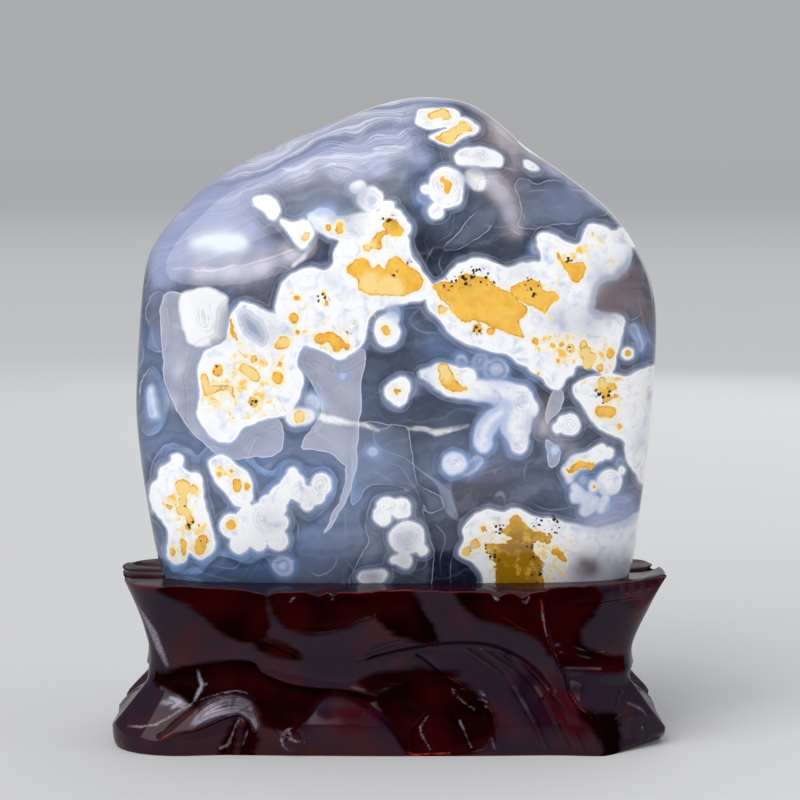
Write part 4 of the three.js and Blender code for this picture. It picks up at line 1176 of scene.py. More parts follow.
class StoneLook(bpy.types.PropertyGroup):
    """Sizes and colours of the stone."""

    face_depth: bpy.props.FloatProperty(
        name="Face depth", description="From the middle of the stone to its face",
        default=0.033, unit="LENGTH",
    )
    back_depth: bpy.props.FloatProperty(
        name="Back depth", description="From the middle of the stone to its back",
        default=0.033, unit="LENGTH",
    )
    face_fullness: bpy.props.FloatProperty(
        name="Face fullness", description="2 is an ellipse, more is flatter with a quicker edge",
        default=2.7,
    )
    back_fullness: bpy.props.FloatProperty(
        name="Back fullness", description="2 is an ellipse, more is flatter with a quicker edge",
        default=2.3,
    )
    hollow_depth: bpy.props.FloatProperty(
        name="Hollow depth", description="Depth of the polished hollow on the face",
        default=0.0024, unit="LENGTH",
    )
    slate: colour_property("Slate", "Dark part of the ground", (0.036, 0.053, 0.100))
    grey: colour_property("Grey", "Lighter part of the ground", (0.080, 0.104, 0.165))
    navy: colour_property("Navy", "Darkest clouds", (0.006, 0.011, 0.03))
    brown: colour_property("Brown", "Smoky clouds", (0.17, 0.125, 0.14))
    sky: colour_property("Sky", "Bluer clouds", (0.165, 0.235, 0.4))
    mist: colour_property("Mist", "Thin milk", (0.30, 0.35, 0.49))
    halo: colour_property("Halo", "Blue glow round the patches", (0.25, 0.42, 0.76))
    line: colour_property("Line", "Thin pale lines", (0.4, 0.45, 0.62))
    lavender: colour_property("Lavender", "Darker milk bands", (0.300, 0.345, 0.545))
    milk: colour_property("Milk", "Lighter milk bands", (0.66, 0.68, 0.82))
    fog: colour_property("Fog", "Light, greyer clouds", (0.152, 0.188, 0.280))
    dusk: colour_property("Dusk", "Greyed parts of the patches", (0.42, 0.42, 0.52))
    rust: colour_property("Rust", "Fine outlines of the yellow", (0.48, 0.19, 0.02))
    veil_and_reflection: colour_property("Veil", "Milky veils", (0.64, 0.65, 0.78))
    pink: colour_property("Pink", "Faintly pink haze", (0.62, 0.55, 0.61))
    white: colour_property("White", "Edges of the patches", (0.96, 0.965, 0.985))
    azure: colour_property("Azure", "Bluest clouds", (0.09, 0.20, 0.46))
    # colour of the painted highlights, soft reflections of light painted on the polish
    painted_highlight: colour_property("Gloss", "Soft bright glows", (0.80, 0.88, 0.97))
    pearl: colour_property("Pearl", "Shade inside the patches", (0.74, 0.75, 0.86))
    cream: colour_property("Cream", "Edge of the yellow", (0.97, 0.88, 0.62))
    yellow: colour_property("Yellow", "Cores of the patches", (0.95, 0.56, 0.085))
    amber: colour_property("Amber", "Deeper yellow", (0.85, 0.42, 0.04))
    # deepest yellow; at the stone's foot, where most of it lies, it also carries painted shade near the
    # base
    ochre: colour_property("Ochre", "Darkest yellow", (0.35, 0.175, 0.004))
    straw: colour_property("Straw", "Palest yellow", (0.96, 0.73, 0.3))
    speck: colour_property("Speck", "Dark specks in the yellow", (0.02, 0.008, 0.004))


class OBJECT_OT_agate_stone(bpy.types.Operator):
    """Builds the polished stone with its patches, bands and veils"""

    bl_idname = "object.agate_stone"
    bl_label = "Agate stone"

    def execute(self, context):
        look = context.scene.stone_look
        quick, full = STONE_DIVISIONS
        skin = shape_stone(unit_ball(full), look)
        fields = stone_fields(skin, np.array([v.co for v in skin.verts]))
        mesh_data = bpy.data.meshes.new("agate_stone")
        skin.to_mesh(mesh_data)
        skin.free()
        for name, values in fields.items():
            keep_field(mesh_data, name, values)
        mesh_data.shade_smooth()
        make_piece("agate_stone", mesh_data, agate_material(look), "agate")
        return {"FINISHED"}


# The base's carving. On a wall, seen from outside, across runs to the right.


def end_fade(along, start, end):
    """Lets a cut run out over these shares of its length at its start and its end."""
    return smoothstep(0, start, along) * smoothstep(0, end, 1 - along)


def ledge(points, height, width, lift=0.1, fall=0.7):
    """The wall falls away on the right of the line, and a share of the step stands out on its left."""
    line = smooth_curve(points, CUT_STEPS, closed=False)

    def push(places):
        distance, side, along = distance_to_line(places, line)
        step = 0.5 * np.tanh(side * distance / fall) - 0.5 + lift
        return height * step * np.exp(-distance / width) * end_fade(along, 0.15, 0.1)

    return push


def oval(across, z, half_length, half_width, lean=0):
    """An oval outline that leans by an angle."""
    turn = math.radians(lean)
    around = np.arange(12) * math.pi / 6
    along, over = half_length * np.cos(around), half_width * np.sin(around)
    return np.column_stack([
        across + along * math.cos(turn) - over * math.sin(turn),
        z + along * math.sin(turn) + over * math.cos(turn),
    ])


def mound(across, z, half_length, half_width, height, lean=0):
    """A round swelling over an oval that leans by an angle."""
    turn = math.radians(lean)

    def push(places):
        off = places - (across, z)
        along = math.cos(turn) * off[:, 0] + math.sin(turn) * off[:, 1]
        over = math.cos(turn) * off[:, 1] - math.sin(turn) * off[:, 0]
        return height * np.exp(-(np.hypot(along / half_length, over / half_width) ** 2))

    return push


def groove(points, depth, half_width):
    """A thin line cut with the corner of a chisel."""
    line = smooth_curve(points, CUT_STEPS, closed=False)

    def push(places):
        distance, _, along = distance_to_line(places, line)
        return -depth * np.maximum(0, 1 - distance / half_width) * end_fade(along, 0.15, 0.15)

    return push


def comb(points, spacing, half_width, depth):
    """Fine marks side by side, where a toothed scraper was drawn along."""
    line = smooth_curve(points, CUT_STEPS, closed=False)

    def push(places):
        distance, side, along = distance_to_line(places, line)
        wave = np.cos(2 * math.pi * side * distance / spacing) ** 2
        fade = end_fade(along, 0.2, 0.3)
        return -depth * wave * fade * (1 - smoothstep(0.7, 1, distance / half_width))

    return push


# The hollows of each wall, as (outline, depth, the distance in which it falls). The lacquer paints their
# insides dark as painted shade.
HOLLOWS = {
    "front": [
        # under the rim, from the left, and the twist beside the left ear, painted dark as shade
        (
            [(-45.8, 63), (-44.5, 57), (-41.3, 51.6), (-36.2, 48.4), (-26.5, 47.4), (-19, 48.8),
             (-11.7, 52), (-6, 54), (-3.7, 57.5), (-5.4, 63), (-13, 68), (-32, 68), (-43, 67)],
            4.5, 3.5,
        ),
        (
            [(-6.3, 60.4), (-4, 53), (1.9, 47.6), (10.5, 44), (19, 43.6), (17.2, 49.5), (13.2, 56.4),
             (9.5, 63.6), (2, 68), (-5, 67)],
            4.0, 3.5,
        ),
        (
            [(26.4, 64), (30.4, 57.5), (35.7, 53), (44.6, 50.7), (52, 47.7), (58.8, 44), (63, 38),
             (62, 47), (60.8, 55), (60.2, 63.4), (48, 69), (31, 69)],
            4.0, 3.5,
        ),
        (
            [(-89, 64), (-77, 58.7), (-66.7, 49), (-56.4, 43.8), (-49, 45), (-46.5, 50), (-47.5, 56),
             (-48, 62.6), (-62, 70), (-80, 69)],
            2.0, 6.0,
        ),
        # beyond the long ridge on the right
        (
            [(61.2, 63), (62.4, 50.5), (65, 39.7), (68.4, 33), (77.8, 31), (93, 31), (96.6, 34),
             (85.4, 37), (76.5, 40.5), (74.5, 47), (79, 54), (82.3, 62), (75, 69), (64, 69)],
            3.6, 3.5,
        ),
        # under the wave: a slit and the round sunk field
        ([(-12, 27.4), (-2.8, 30.7), (10.5, 31.7), (27.7, 30.6), (18, 28), (4.6, 26.6), (-4, 24)], 1.5,
         3.5),
        (
            [(-5, 21.5), (1.6, 25.6), (12, 29), (25.4, 27.4), (34, 23.5), (40, 16.7), (40.7, 9.8),
             (37, 3), (26.8, 0), (15, -1), (8.3, 1), (3, 10), (-1.3, 15.5)],
            3.4, 5.0,
        ),
        # the valley across the left, painted black as shade, and the cut above it
        (
            [(-97, 30), (-87, 29.5), (-79, 32.5), (-67, 34.7), (-53.5, 35), (-48.7, 30.4), (-38.6, 26.4),
             (-26.6, 24.4), (-14.7, 23.5), (-2, 21.4), (-8.4, 19.6), (-19, 23.4), (-26.6, 21.3),
             (-31.7, 14.7), (-34.6, 10.4), (-41, 10), (-48, 12.5), (-50, 18), (-52.6, 22.2),
             (-59.4, 24.2), (-71.3, 21.6), (-75.8, 19), (-81.3, 22.5), (-94, 27)],
            3.0, 3.5,
        ),
        ([(-52, 43.8), (-44.4, 43.3), (-38.5, 41.3), (-34, 37), (-41.5, 38), (-49, 40.2)], 1.8, 2.0),
        # the cuts beside the leaf, and under the flat of the right foot
        ([(-65.3, 1), (-61.7, 9.5), (-58.2, 15.2), (-59, 8), (-60.6, 0)], 2.4, 2.0),
        ([(-57, 0), (-55.8, 9.6), (-54, 14.4), (-51, 10.2), (-50.8, 5), (-53.2, 0)], 2.4, 2.0),
        ([(74, 16.5), (82, 15.2), (88.8, 14.7), (90.4, 8.2), (89, 0), (84, -2), (83, 5), (78, 12)], 2.0,
         2.5),
    ],
    "back": [
        (oval(-56, 50, 26, 9, 24), 3.6, 4.0),
        (oval(4, 56, 22, 8), 3.4, 4.0),
        (oval(58, 46, 24, 12, -20), 3.6, 4.0),
        (oval(-44, 14, 24, 10, 18), 3.4, 4.0),
    ],
    "left": [
        (oval(6, 46, 18, 11, 10), 2.6, 4.0),
        # the notches between the lobes of the ear
        (oval(13, 60, 5, 15, 8), 6, 4.0),
        (oval(-9, 60, 6, 13, -8), 5, 4.0),
    ],
    "right": [
        (oval(-6, 46, 18, 11, -10), 2.6, 4.0),
        (oval(9, 60, 8, 14, 6), 7, 4.0),
        (oval(-20, 60, 4, 10, -8), 3, 4.0),
    ],
}

# The swellings, steps and fine cuts of each wall.
CARVING = {
    "front": [
        # the long ridge on the right
        ledge(
            [(80, 6), (78.8, 14), (74.4, 17), (70.4, 23), (68.7, 29.5), (65, 37), (62.3, 44),
             (61, 54), (60.5, 66)],
            4.0, 9,
        ),
        # the swelling across the middle with its lower edge, and the wave
        mound(-20, 40, 34, 8, 2.5),
        ledge(
            [(-67, 35), (-53.5, 35), (-48.7, 30.4), (-38.6, 26.4), (-26.6, 24.4), (-14.7, 23.5),
             (-2, 21)],
            4.5, 8, 0.6,
        ),
        ledge(
            [(-12.5, 35), (-2.8, 38.2), (10.5, 41), (25.4, 42.8), (38.8, 42), (49, 38), (56.7, 32.7),
             (62.7, 26), (65, 23)],
            3.0, 7,
        ),
        ledge([(9, 39.7), (15, 35), (24, 27.7), (31.3, 23.5), (39, 15), (42.4, 1)], 3.5, 8),
        mound(16, 7, 5, 8, 2.4, 15),
        # the hill in the middle of the foot, and the curled knob beside it
        ledge(
            [(9, -2), (7, 2), (0.5, 11.4), (-8.4, 18.7), (-19.2, 23), (-26.6, 20.8), (-32.4, 12.7)],
            4.4, 8,
        ),
        mound(-36.8, 6, 4.2, 4.2, 3.6),
        groove([(-40.5, 5), (-39, 9.5), (-35, 10), (-33, 6.5), (-35.5, 4)], 1.0, 1.1),
        # the leaf on the left of the foot, with the toe under it
        ledge(
            [(-51, 16), (-51.5, 20.6), (-56.4, 23.2), (-64, 23.5), (-71.3, 21.3), (-77.3, 17.2),
             (-84.7, 11.2), (-90, 5)],
            2.8, 5, 0.5,
        ),
        ledge(
            [(-91, 4.5), (-81.7, 8.5), (-72.5, 10.6), (-65, 13.5), (-58.4, 15.4), (-55, 13.9), (-51, 10)],
            3.4, 6, 0.4,
        ),
        # the crease and the notches of the right foot
        ledge([(89.8, 0), (89.5, 11), (91.2, 18), (94, 24)], 2.4, 6),
        groove([(96, 3), (95, 9), (97, 15)], 1.2, 1.3),
        groove([(100.5, 4), (99.5, 9), (101, 14)], 1.2, 1.3),
        # the band under the rim of the right ear
        ledge([(72, 57.5), (78, 58.6), (90, 60.2), (106, 60.6)], 2.2, 6, 0.35, 0.4),
        # fine cuts: the arcs, the flames, the vein of the leaf
        groove([(30.6, 42), (38.8, 36.3), (46.3, 28.3), (52, 19.3), (57, 11), (61, 1)], 1.0, 1.2),
        groove([(41.8, 41.5), (50.7, 32.7), (58, 23.3), (63, 14), (68.3, 1)], 0.9, 1.1),
        groove([(49.2, 38), (56.7, 30.4), (64.8, 20.6), (69.8, 12.3), (73.6, 1)], 0.8, 1.0),
        ledge([(9.8, 0), (9, 8.4), (11.7, 12.8), (15.5, 16.5)], 2.0, 3, 0.5, 0.5),
        groove([(17.9, 1), (14.9, 11.4), (15.5, 17)], 0.8, 1.0),
        ledge([(31.5, 0), (30.5, 6.9), (27.5, 11.3), (23, 15)], 1.8, 3, 0.5, 0.5),
        groove([(-89, 7), (-82, 13), (-74, 20), (-71, 24)], 1.2, 1.4),
        groove([(-54, 43.5), (-46, 44.2), (-39, 41.8), (-32.5, 36.4)], 0.9, 1.1),
        comb([(22, 26.5), (29.8, 23.5), (38, 18)], 1.6, 4.4, 0.7),
        comb([(-80, 14.5), (-70, 20.5), (-60, 21.5), (-52, 16)], 1.7, 5.0, 0.5),
        comb([(-10, 38), (6, 42), (22, 45)], 2.2, 4, 0.22),
    ],
    "back": [
        ledge([(-80, 8), (-66, 26), (-44, 40), (-16, 46), (14, 42), (38, 32)], 5, 11, 0.3),
        ledge([(-30, 3), (-8, 18), (20, 26), (52, 24), (80, 14)], 5, 11, 0.3),
        mound(24, 9, 22, 8, 3.2),
        ledge([(66, 2), (72, 18), (70, 38), (62, 56)], 4.5, 10, 0.3),
        groove([(-60, 6), (-44, 24), (-22, 34), (2, 36)], 0.9, 1.1),
        groove([(-52, 4), (-36, 19), (-16, 27), (6, 29)], 0.8, 1.0),
        groove([(28, 34), (42, 30), (58, 20), (66, 6)], 0.8, 1.0),
        comb([(-20, 8), (0, 14), (24, 17)], 2.0, 4, 0.3),
    ],
    "left": [
        ledge([(-26, 6), (-14, 20), (2, 28), (20, 30)], 4, 9, 0.3),
        mound(-12, 10, 12, 7, 2.4, 20),
        groove([(-16, 4), (-6, 14), (8, 20)], 0.8, 1.0),
    ],
    "right": [
        ledge([(-22, 30), (-2, 27), (14, 18), (24, 4)], 4, 9, 0.3),
        mound(14, 10, 12, 7, 2.4, -20),
        groove([(-12, 22), (4, 16), (14, 5)], 0.8, 1.0),
    ],
}

# The flats that the knife left: facing in degrees round from +X, up, reach from the middle, and
# the heights that each runs between, where -9 and 99 lie past the ends.
KNIFE_CUTS = [
    (-50, 0, 91, -9, 99), (-130, 0, 97, -9, 99), (50, 5, 90, -9, 99), (131, 5, 93, -9, 99),
    (-95, -13, 42.5, 34, 99), (-72, -14, 60, 34, 99), (-105, 34, 43.4, -9, 27), (-75, 36, 42.2, -9, 25),
    (-35, -54, 83.5, -9, 12), (-130, 38, 60.9, -9, 24), (180, 39, 69.4, -9, 26), (-50, 36, 62.6, -9, 26),
    (0, 36, 73.4, -9, 28),
]

# How the rim rises and dips along the front, as [x, rise]. Behind, it does so by a share.
RIM_WAVE = [
    (-104, -0.8), (-96, 0), (-78, 0.9), (-56, -0.1), (-46, -2.0), (-41, -1.1), (-32, -0.7), (-26.5, -2.4),
    (-23.5, -1.0), (-21, -2.4), (-19, -0.8), (-11, -0.8), (-3, -0.1), (8, 0.4), (32, -0.6), (38.5, -0.8),
    (41.5, -3.0), (45, -1.2), (48, -1.1), (51.5, -3.2), (55, -1.0), (62, 0.6), (70, 1.5), (84, 2.0),
    (106, 2.2),
]
RIM_SHARE_BEHIND = 0.3
RIM_UNEVENNESS = (0.35, 5)  # height and size of its small lumps
# How the top runs from the rim to the socket, as (share of the way, rise), and the heights of
# the rings inside the socket.
TOP_STEPS = [
    (0.012, 0.25), (0.03, 0.3), (0.07, 0.05), (0.15, -0.2), (0.3, -0.1), (0.5, 0), (0.75, 0), (0.95, 0),
    (1, 0),
]
SOCKET_HEIGHTS = (TOP_LEVEL - 0.6, 61, 58, SEAT_HEIGHT - SEAT_GAP)
# Cuts across the top from the ears inwards, as (x, y) to (x, y), half width and depth.
TOP_CUTS = [
    ((-112, -13), (-84, -9), 4.0, 2.4), ((-112, 9), (-84, 7), 4.5, 2.6),
    ((-104, 26), (-88, 18), 3.0, 1.6), ((112, 9), (88, 7), 5.0, 2.8), ((108, -24), (90, -16), 3.0, 1.8),
]


def wall_places(points, normals):
    """For each wall, how far each point belongs to it, and where it lies on it."""
    nx, ny = normals.T
    x, y, z = points.T
    long_wall, short_wall = (0.45, 0.85), (0.6, 0.9)
    return {
        "front": (smoothstep(*long_wall, -ny), np.column_stack([x, z])),
        "back": (smoothstep(*long_wall, ny), np.column_stack([-x, z])),
        "right": (smoothstep(*short_wall, nx), np.column_stack([y, z])),
        "left": (smoothstep(*short_wall, -nx), np.column_stack([-y, z])),
    }


def carve(points, normals):
    """How far the carving moves each point outwards, and how far inside a hollow it lies."""
    moved = np.zeros(len(points))
    inside = np.full(len(points), -HOLLOW_REACH)
    for wall, (weight, places) in wall_places(points, normals).items():
        reached = np.where(weight > 0)[0]
        weight, places = weight[reached], places[reached]
        for cut in CARVING[wall]:
            moved[reached] += weight * cut(places)
        for outline, depth, fall in HOLLOWS[wall]:
            within = -distance_to_outline(places, outline, HOLLOW_REACH)
            moved[reached] -= weight * depth * (1 - np.exp(-np.maximum(within, 0) / fall))
            inside[reached] = np.maximum(inside[reached], np.where(weight > 0.3, within, -HOLLOW_REACH))
    return moved, inside


def flare(waist, z):
    """The share by which the wall stands out further towards the corners, at a height."""
    back = smoothstep(-34, 34, waist[:, 1])
    total = np.zeros(len(waist))
    for (side, depth), (foot, rim) in CORNER_FLARES.items():
        end = smoothstep(0.62, 0.95, side * waist[:, 0] / WAIST_HALF)
        total += end * (back if depth > 0 else 1 - back) * (foot + smoothstep(18, 50, z) * (rim - foot))
    return total


def knife_flats(points):
    """Brings in all that stands out beyond the flats, a little softly at their upper and lower ends."""
    soft = 3
    for facing, up, reach, low, high in KNIFE_CUTS:
        turn, tilt = math.radians(facing), math.radians(up)
        level = np.array([math.cos(turn), math.sin(turn), 0])
        normal = level * math.cos(tilt) + np.array([0, 0, math.sin(tilt)])
        beyond = np.maximum(0, (points - (0, 0, BASE_HEIGHT / 2)) @ normal - reach)
        z = points[:, 2]
        beyond *= smoothstep(low - soft, low + soft, z) * smoothstep(high + soft, high - soft, z)
        points = points - beyond[:, None] * level / math.cos(tilt)
    return points


def points_along(curve, spread):
    """Points on a curve, at the distances along it that spread makes of its length."""
    length = np.concatenate([[0], np.cumsum(np.linalg.norm(np.diff(curve, axis=0), axis=1))])
    at = spread(length[-1])
    return np.column_stack([np.interp(at, length, curve[:, k]) for k in (0, 1)])


def waist_places(count):
    """Places along the waist, closer together at the front, and the way that each faces."""
    curve = smooth_curve(WAIST_PLAN, 40, closed=True)
    turn = 2 * math.pi * np.arange(count) / count
    share = (turn - FRONT_CROWDING * np.sin(turn)) / (2 * math.pi)
    waist = points_along(np.vstack([curve, curve[:1]]), lambda length: share * length)
    tangent = np.roll(waist, -1, axis=0) - np.roll(waist, 1, axis=0)
    tangent /= np.linalg.norm(tangent, axis=1)[:, None]
    return waist, np.column_stack([tangent[:, 1], -tangent[:, 0]])


def foot_reach(way, z, look, grown):
    """How far the stone, grown by a little, reaches at a height in each of the plan directions."""
    beyond = 130.0  # further than the stone reaches anywhere
    low, high = np.zeros(len(way)), np.full(len(way), beyond)
    angles, reaches = polar_outline()
    # halve the span that holds the answer until it is far below a micrometre
    for _ in range(30):
        tried = (low + high) / 2
        dx, y = tried * way[:, 0], tried * way[:, 1]
        dz = z - STONE_CENTRE[1]
        reach = np.interp(np.arctan2(dz, dx), angles, reaches, period=2 * math.pi) + grown
        front = y < 0
        fullness = np.where(front, look.face_fullness, look.back_fullness)
        depth = np.where(front, look.face_depth, look.back_depth) / MM + grown
        within = (np.hypot(dx, dz) / reach) ** fullness + (np.abs(y) / depth) ** fullness < 1
        low, high = np.where(within, tried, low), np.where(within, high, tried)
    return low


def side_rings(waist, normal, up):
    """Rings of points up the carved side, and how far each point is sunk in a hollow."""
    heights = smooth_curve(SIDE_PROFILE, 24, closed=False)
    profile = points_along(heights, lambda length: np.linspace(0, length, up))
    wave = np.interp(waist[:, 0], *np.transpose(RIM_WAVE))
    wave *= np.where(waist[:, 1] < 0, 1.0, RIM_SHARE_BEHIND)
    rise, size = RIM_UNEVENNESS
    wave += rise * np.array([noise.noise(Vector((x / size, y / size, 0))) for x, y in waist])
    rings = []
    sunk = []
    for reach, z in profile:
        out = reach * (1 + flare(waist, z))
        ring = np.column_stack([waist + normal * out[:, None], z + wave * smoothstep(50, 64, z)])
        ring = knife_flats(ring)
        moved, inside = carve(ring, normal)
        # the carving is shallower near the rim, and runs out at the underside
        near_rim = smoothstep(58, BASE_HEIGHT, z)
        ring[:, :2] += normal * (moved * smoothstep(0, 3, z) * (1 - 0.55 * near_rim))[:, None]
        rings.append(ring)
        sunk.append(inside)
    return rings, sunk


def top_rings(rim_ring, look):
    """Rings of points over the top, and down into the socket that the stone's foot stands in."""
    middle = np.array([STONE_CENTRE[0], 0])
    way = rim_ring[:, :2] - middle
    way /= np.linalg.norm(way, axis=1)[:, None]

    def socket(z):
        reach = foot_reach(way, z, look, SEAT_GAP)
        return np.column_stack([middle + way * reach[:, None], np.full(len(way), z)])

    rings = []
    mouth = socket(TOP_LEVEL)
    for share, rise in TOP_STEPS:
        ring = rim_ring + share * (mouth - rim_ring)
        ring[:, 2] = rim_ring[:, 2] + smoothstep(0, 0.6, share) * (TOP_LEVEL - rim_ring[:, 2]) + rise
        for start, end, half, depth in TOP_CUTS:
            distance, _, along = distance_to_line(ring[:, :2], np.array([start, end], float))
            ring[:, 2] -= depth * np.maximum(0, 1 - distance / half) * smoothstep(0, 0.5, 1 - along)
        rings.append(ring)
    return rings + [socket(z) for z in SOCKET_HEIGHTS]


def base_rings(around, up, look):
    """Rings of points up the side, over the top and into the socket, and how far each is sunk."""
    side, sunk = side_rings(*waist_places(around), up)
    top = top_rings(side[-1], look)
    return side + top, sunk + [np.full(around, -HOLLOW_REACH)] * len(top)


def skin_over(rings, sunk):
    """A closed skin over rings of points, bent from a flat grid, that keeps how far each is sunk."""
    around = len(rings[0])
    grid = bmesh.new()
    layer = grid.verts.layers.float.new("sunk")
    bmesh.ops.create_grid(grid, x_segments=around, y_segments=len(rings) - 1, size=0.5)
    for vert in grid.verts:
        column = round((vert.co.x + 0.5) * around) % around
        row = round((vert.co.y + 0.5) * (len(rings) - 1))
        vert.co = rings[row][column]
        vert[layer] = sunk[row][column]
    bmesh.ops.remove_doubles(grid, verts=grid.verts, dist=0.001)
    ends = [e for e in grid.edges if e.is_boundary]
    bmesh.ops.holes_fill(grid, edges=ends)
    bmesh.ops.triangulate(grid, faces=[f for f in grid.faces if len(f.verts) > 4])
    bmesh.ops.recalc_face_normals(grid, faces=grid.faces)
    return grid


def read_rows(values, name, width, kind=float):
    """The values of a mesh, as rows of a given width."""
    flat = np.zeros(len(values) * width, kind)
    values.foreach_get(name, flat)
    return flat.reshape(-1, width)


def edge_field(mesh_data, rounds):
    """How sharply the surface bends outwards at each vertex, spread out by averaging."""
    count = len(mesh_data.vertices)
    one, other = read_rows(mesh_data.edges, "vertices", 2, int).T
    co = read_rows(mesh_data.vertices, "co", 3)
    normals = read_rows(mesh_data.vertex_normals, "vector", 3)
    away = co[one] - co[other]
    away /= np.maximum(np.linalg.norm(away, axis=1), 1e-9)[:, None]
    total = np.bincount(one, np.sum(away * normals[one], axis=1), count)
    total += np.bincount(other, np.sum(-away * normals[other], axis=1), count)
    number = np.maximum(np.bincount(one, minlength=count) + np.bincount(other, minlength=count), 1)
    bend = total / number
    for _ in range(rounds):
        spread = np.bincount(one, bend[other], count)
        spread += np.bincount(other, bend[one], count)
        bend = 0.5 * bend + 0.5 * spread / number
    return bend


# Marks on the lacquer of the front, most of them painted highlights and painted shade, by the pixels that
# show them, as chains of (x, y, radius).
# Painted highlights: pale glints where light catches the leaf, its flat, the toes, the curled knob, the
# chips in the rim, the comb of strokes, the flames and the right foot.
PAINTED_GLINTS = [
    # the leaf, its upper rim and the burst above it
    [(196, 702, 0.4), (208, 697, 0.8), (222, 693, 1), (238, 691, 1), (247, 693, 0.6)],
    [(198, 669, 0.5), (199, 677, 1.5), (202, 685, 2), (198, 693, 2), (194, 701, 0.8)], (206, 684, 1),
    # the flat beside it and its lower edge
    [(171, 698, 2), (180, 702, 3), (172, 708, 2)],
    [(128, 726, 0.4), (142, 727, 1.2), (155, 725, 1), (170, 717, 0.8), (182, 709, 1), (192, 704, 0.8)],
    # the edges of the toes, and the curled knob
    [(221, 748, 1.2), (228, 745, 1), (232, 735, 0.6), (238, 721, 0.5)],
    [(243, 744, 0.4), (247, 732, 0.6), (250, 722, 0.8)],
    [(289, 751, 0.4), (283, 745, 0.7), (281, 738, 0.7), (285, 731, 0.7), (292, 728, 0.4)],
    [(287, 737, 0.5), (295, 741, 1), (304, 742, 0.5)], [(286, 731, 1), (291, 734, 0.8)],
    # chips in the rim
    [(290, 602, 0.6), (294, 598, 1.2)], [(331, 594, 0.8), (333, 600, 0.6)],
    [(494, 597, 1), (498, 600, 1.4)], [(523, 601, 0.5), (526, 604, 0.5), (529, 597, 0.7)],
    [(542, 612, 0.5), (547, 636, 0.7)],
    # the comb of strokes, the flames and the right foot
    [(452, 689, 0.3), (487, 702, 0.5)], [(453, 693, 0.3), (486, 707, 0.5)],
    [(458, 698, 0.3), (474, 709, 0.5)], [(458, 688, 0.2), (484, 695, 0.3)],
    [(428, 716, 0.5), (420, 728, 0.4), (421, 734, 0.5), (430, 749, 0.2)],
    [(460, 721, 0.7), (466, 735, 0.5), (471, 747, 0.3)], [(620, 715, 0.5), (622, 735, 0.3)],
    [(641, 720, 0.4), (644, 736, 0.6)],
]
# The arch of the leaf, whose brushed strokes follow its outline; they are painted pale as a highlight.
LEAF_OUTLINES = {
    "arch": [
        (187, 727), (194, 715), (205, 705), (220, 698), (236, 696), (247, 700), (255, 711), (260, 727),
        (254, 732), (249, 722), (240, 715), (226, 716), (210, 721), (197, 727),
    ],
}
# Painted sheens: pale streaks of reflected light along the left contour, the flat of the left foot, the
# right waist and the right foot.
PAINTED_SHEENS = [
    [(139, 607, 0.5), (146, 620, 4), (153, 633, 5.5), (159, 648, 4), (167, 665, 0.5)],
    [(163, 703, 2), (176, 701, 4), (184, 706, 3)], [(556, 645, 0), (580, 649, -0.4), (604, 652, -0.8)],
    [(566, 668, -0.8), (600, 669, -0.4), (632, 671, -0.8)], [(560, 652, -1), (590, 658, -0.8)],
    [(628, 703, -0.5), (641, 709, 0.5), (646, 715, -0.5)],
]
# Painted shade: dark lines along the cut grooves, as (x, y, radius).
GROOVE_SHADE_LINES = [
    # the arcs below the wave
    [(465, 647, 0.7), (499, 669, 0.9), (523, 697, 0.9), (539, 725, 0.9), (549, 749, 0.7)],
    [(481, 647, 0.5), (515, 669, 0.7), (539, 693, 0.8), (559, 725, 0.8), (571, 749, 0.5)],
    [(509, 657, 0.5), (539, 681, 0.6), (563, 709, 0.7), (579, 737, 0.7), (587, 753, 0.5)],
    # strokes across the swelling, and in the cut above the valley
    [(358, 662, 0.6), (375, 656, 0.5), (400, 650, 0.3)], [(372, 648, 0.4), (400, 640, 0.3)],
    [(365, 655, 0.3), (395, 645, 0.3)],
    [(250, 641, 0.4), (262, 642, 0.6), (280, 650, 0.5), (297, 657, 0.3)],
    [(262, 637, 0.3), (285, 645, 0.4), (297, 652, 0.2)],
    # the veins of the leaf and the crease of the right foot
    [(157, 735, 0.5), (172, 724, 0.8), (186, 713, 0.6), (194, 706, 0.3)],
    [(214, 699, 0.4), (228, 698, 0.5), (244, 703, 0.5), (252, 714, 0.3)],
    [(221, 703, 0.3), (236, 704, 0.4), (247, 711, 0.3)],
    [(619, 690, 0.4), (615, 706, 0.6), (618, 724, 0.5), (616, 745, 0.4)],
    [(636, 716, 0.5), (640, 728, 0.7), (645, 722, 0.4), (649, 733, 0.5), (654, 722, 0.4)],
]
# Edges rubbed red, and painted brighter as highlights where light catches them: the long ridge, the arcs,
# the wave, the foot and the ear's band.
WORN_AND_LIT_EDGES = [
    [(541, 600, 0.4), (545, 628, 0.5), (549, 643, 0.7)],
    [(549, 643, 0.7), (556, 656, 0.8), (563, 673, 0.6), (570, 693, 0.7), (578, 706, 0.8),
     (591, 718, 0.7)],
    [(463, 648, -0.2), (496, 671, -0.2), (520, 699, -0.2), (536, 727, -0.2), (546, 750, -0.2)],
    [(478, 648, -0.4), (512, 671, -0.3), (536, 695, -0.3), (556, 727, -0.4)],
    [(400, 655, -0.2), (425, 647, -0.2), (455, 644, -0.2), (490, 650, -0.2), (522, 662, -0.3)],
    [(503, 617, -0.2), (518, 627, 0), (534, 634, -0.2)],
    [(105, 746, 0.4), (116, 748, 0.5), (124, 747, 0.3)], [(270, 756, 0.3), (290, 756, 0.5)],
    [(408, 752, 0.4), (414, 755, 0.6), (430, 754, 0.5), (450, 753, 0.4)],
    # the band on the right ear
    [(594, 598, 0), (626, 594, 0), (652, 589, 0)], [(648, 589, 0.2), (648, 583, 0.2)],
]
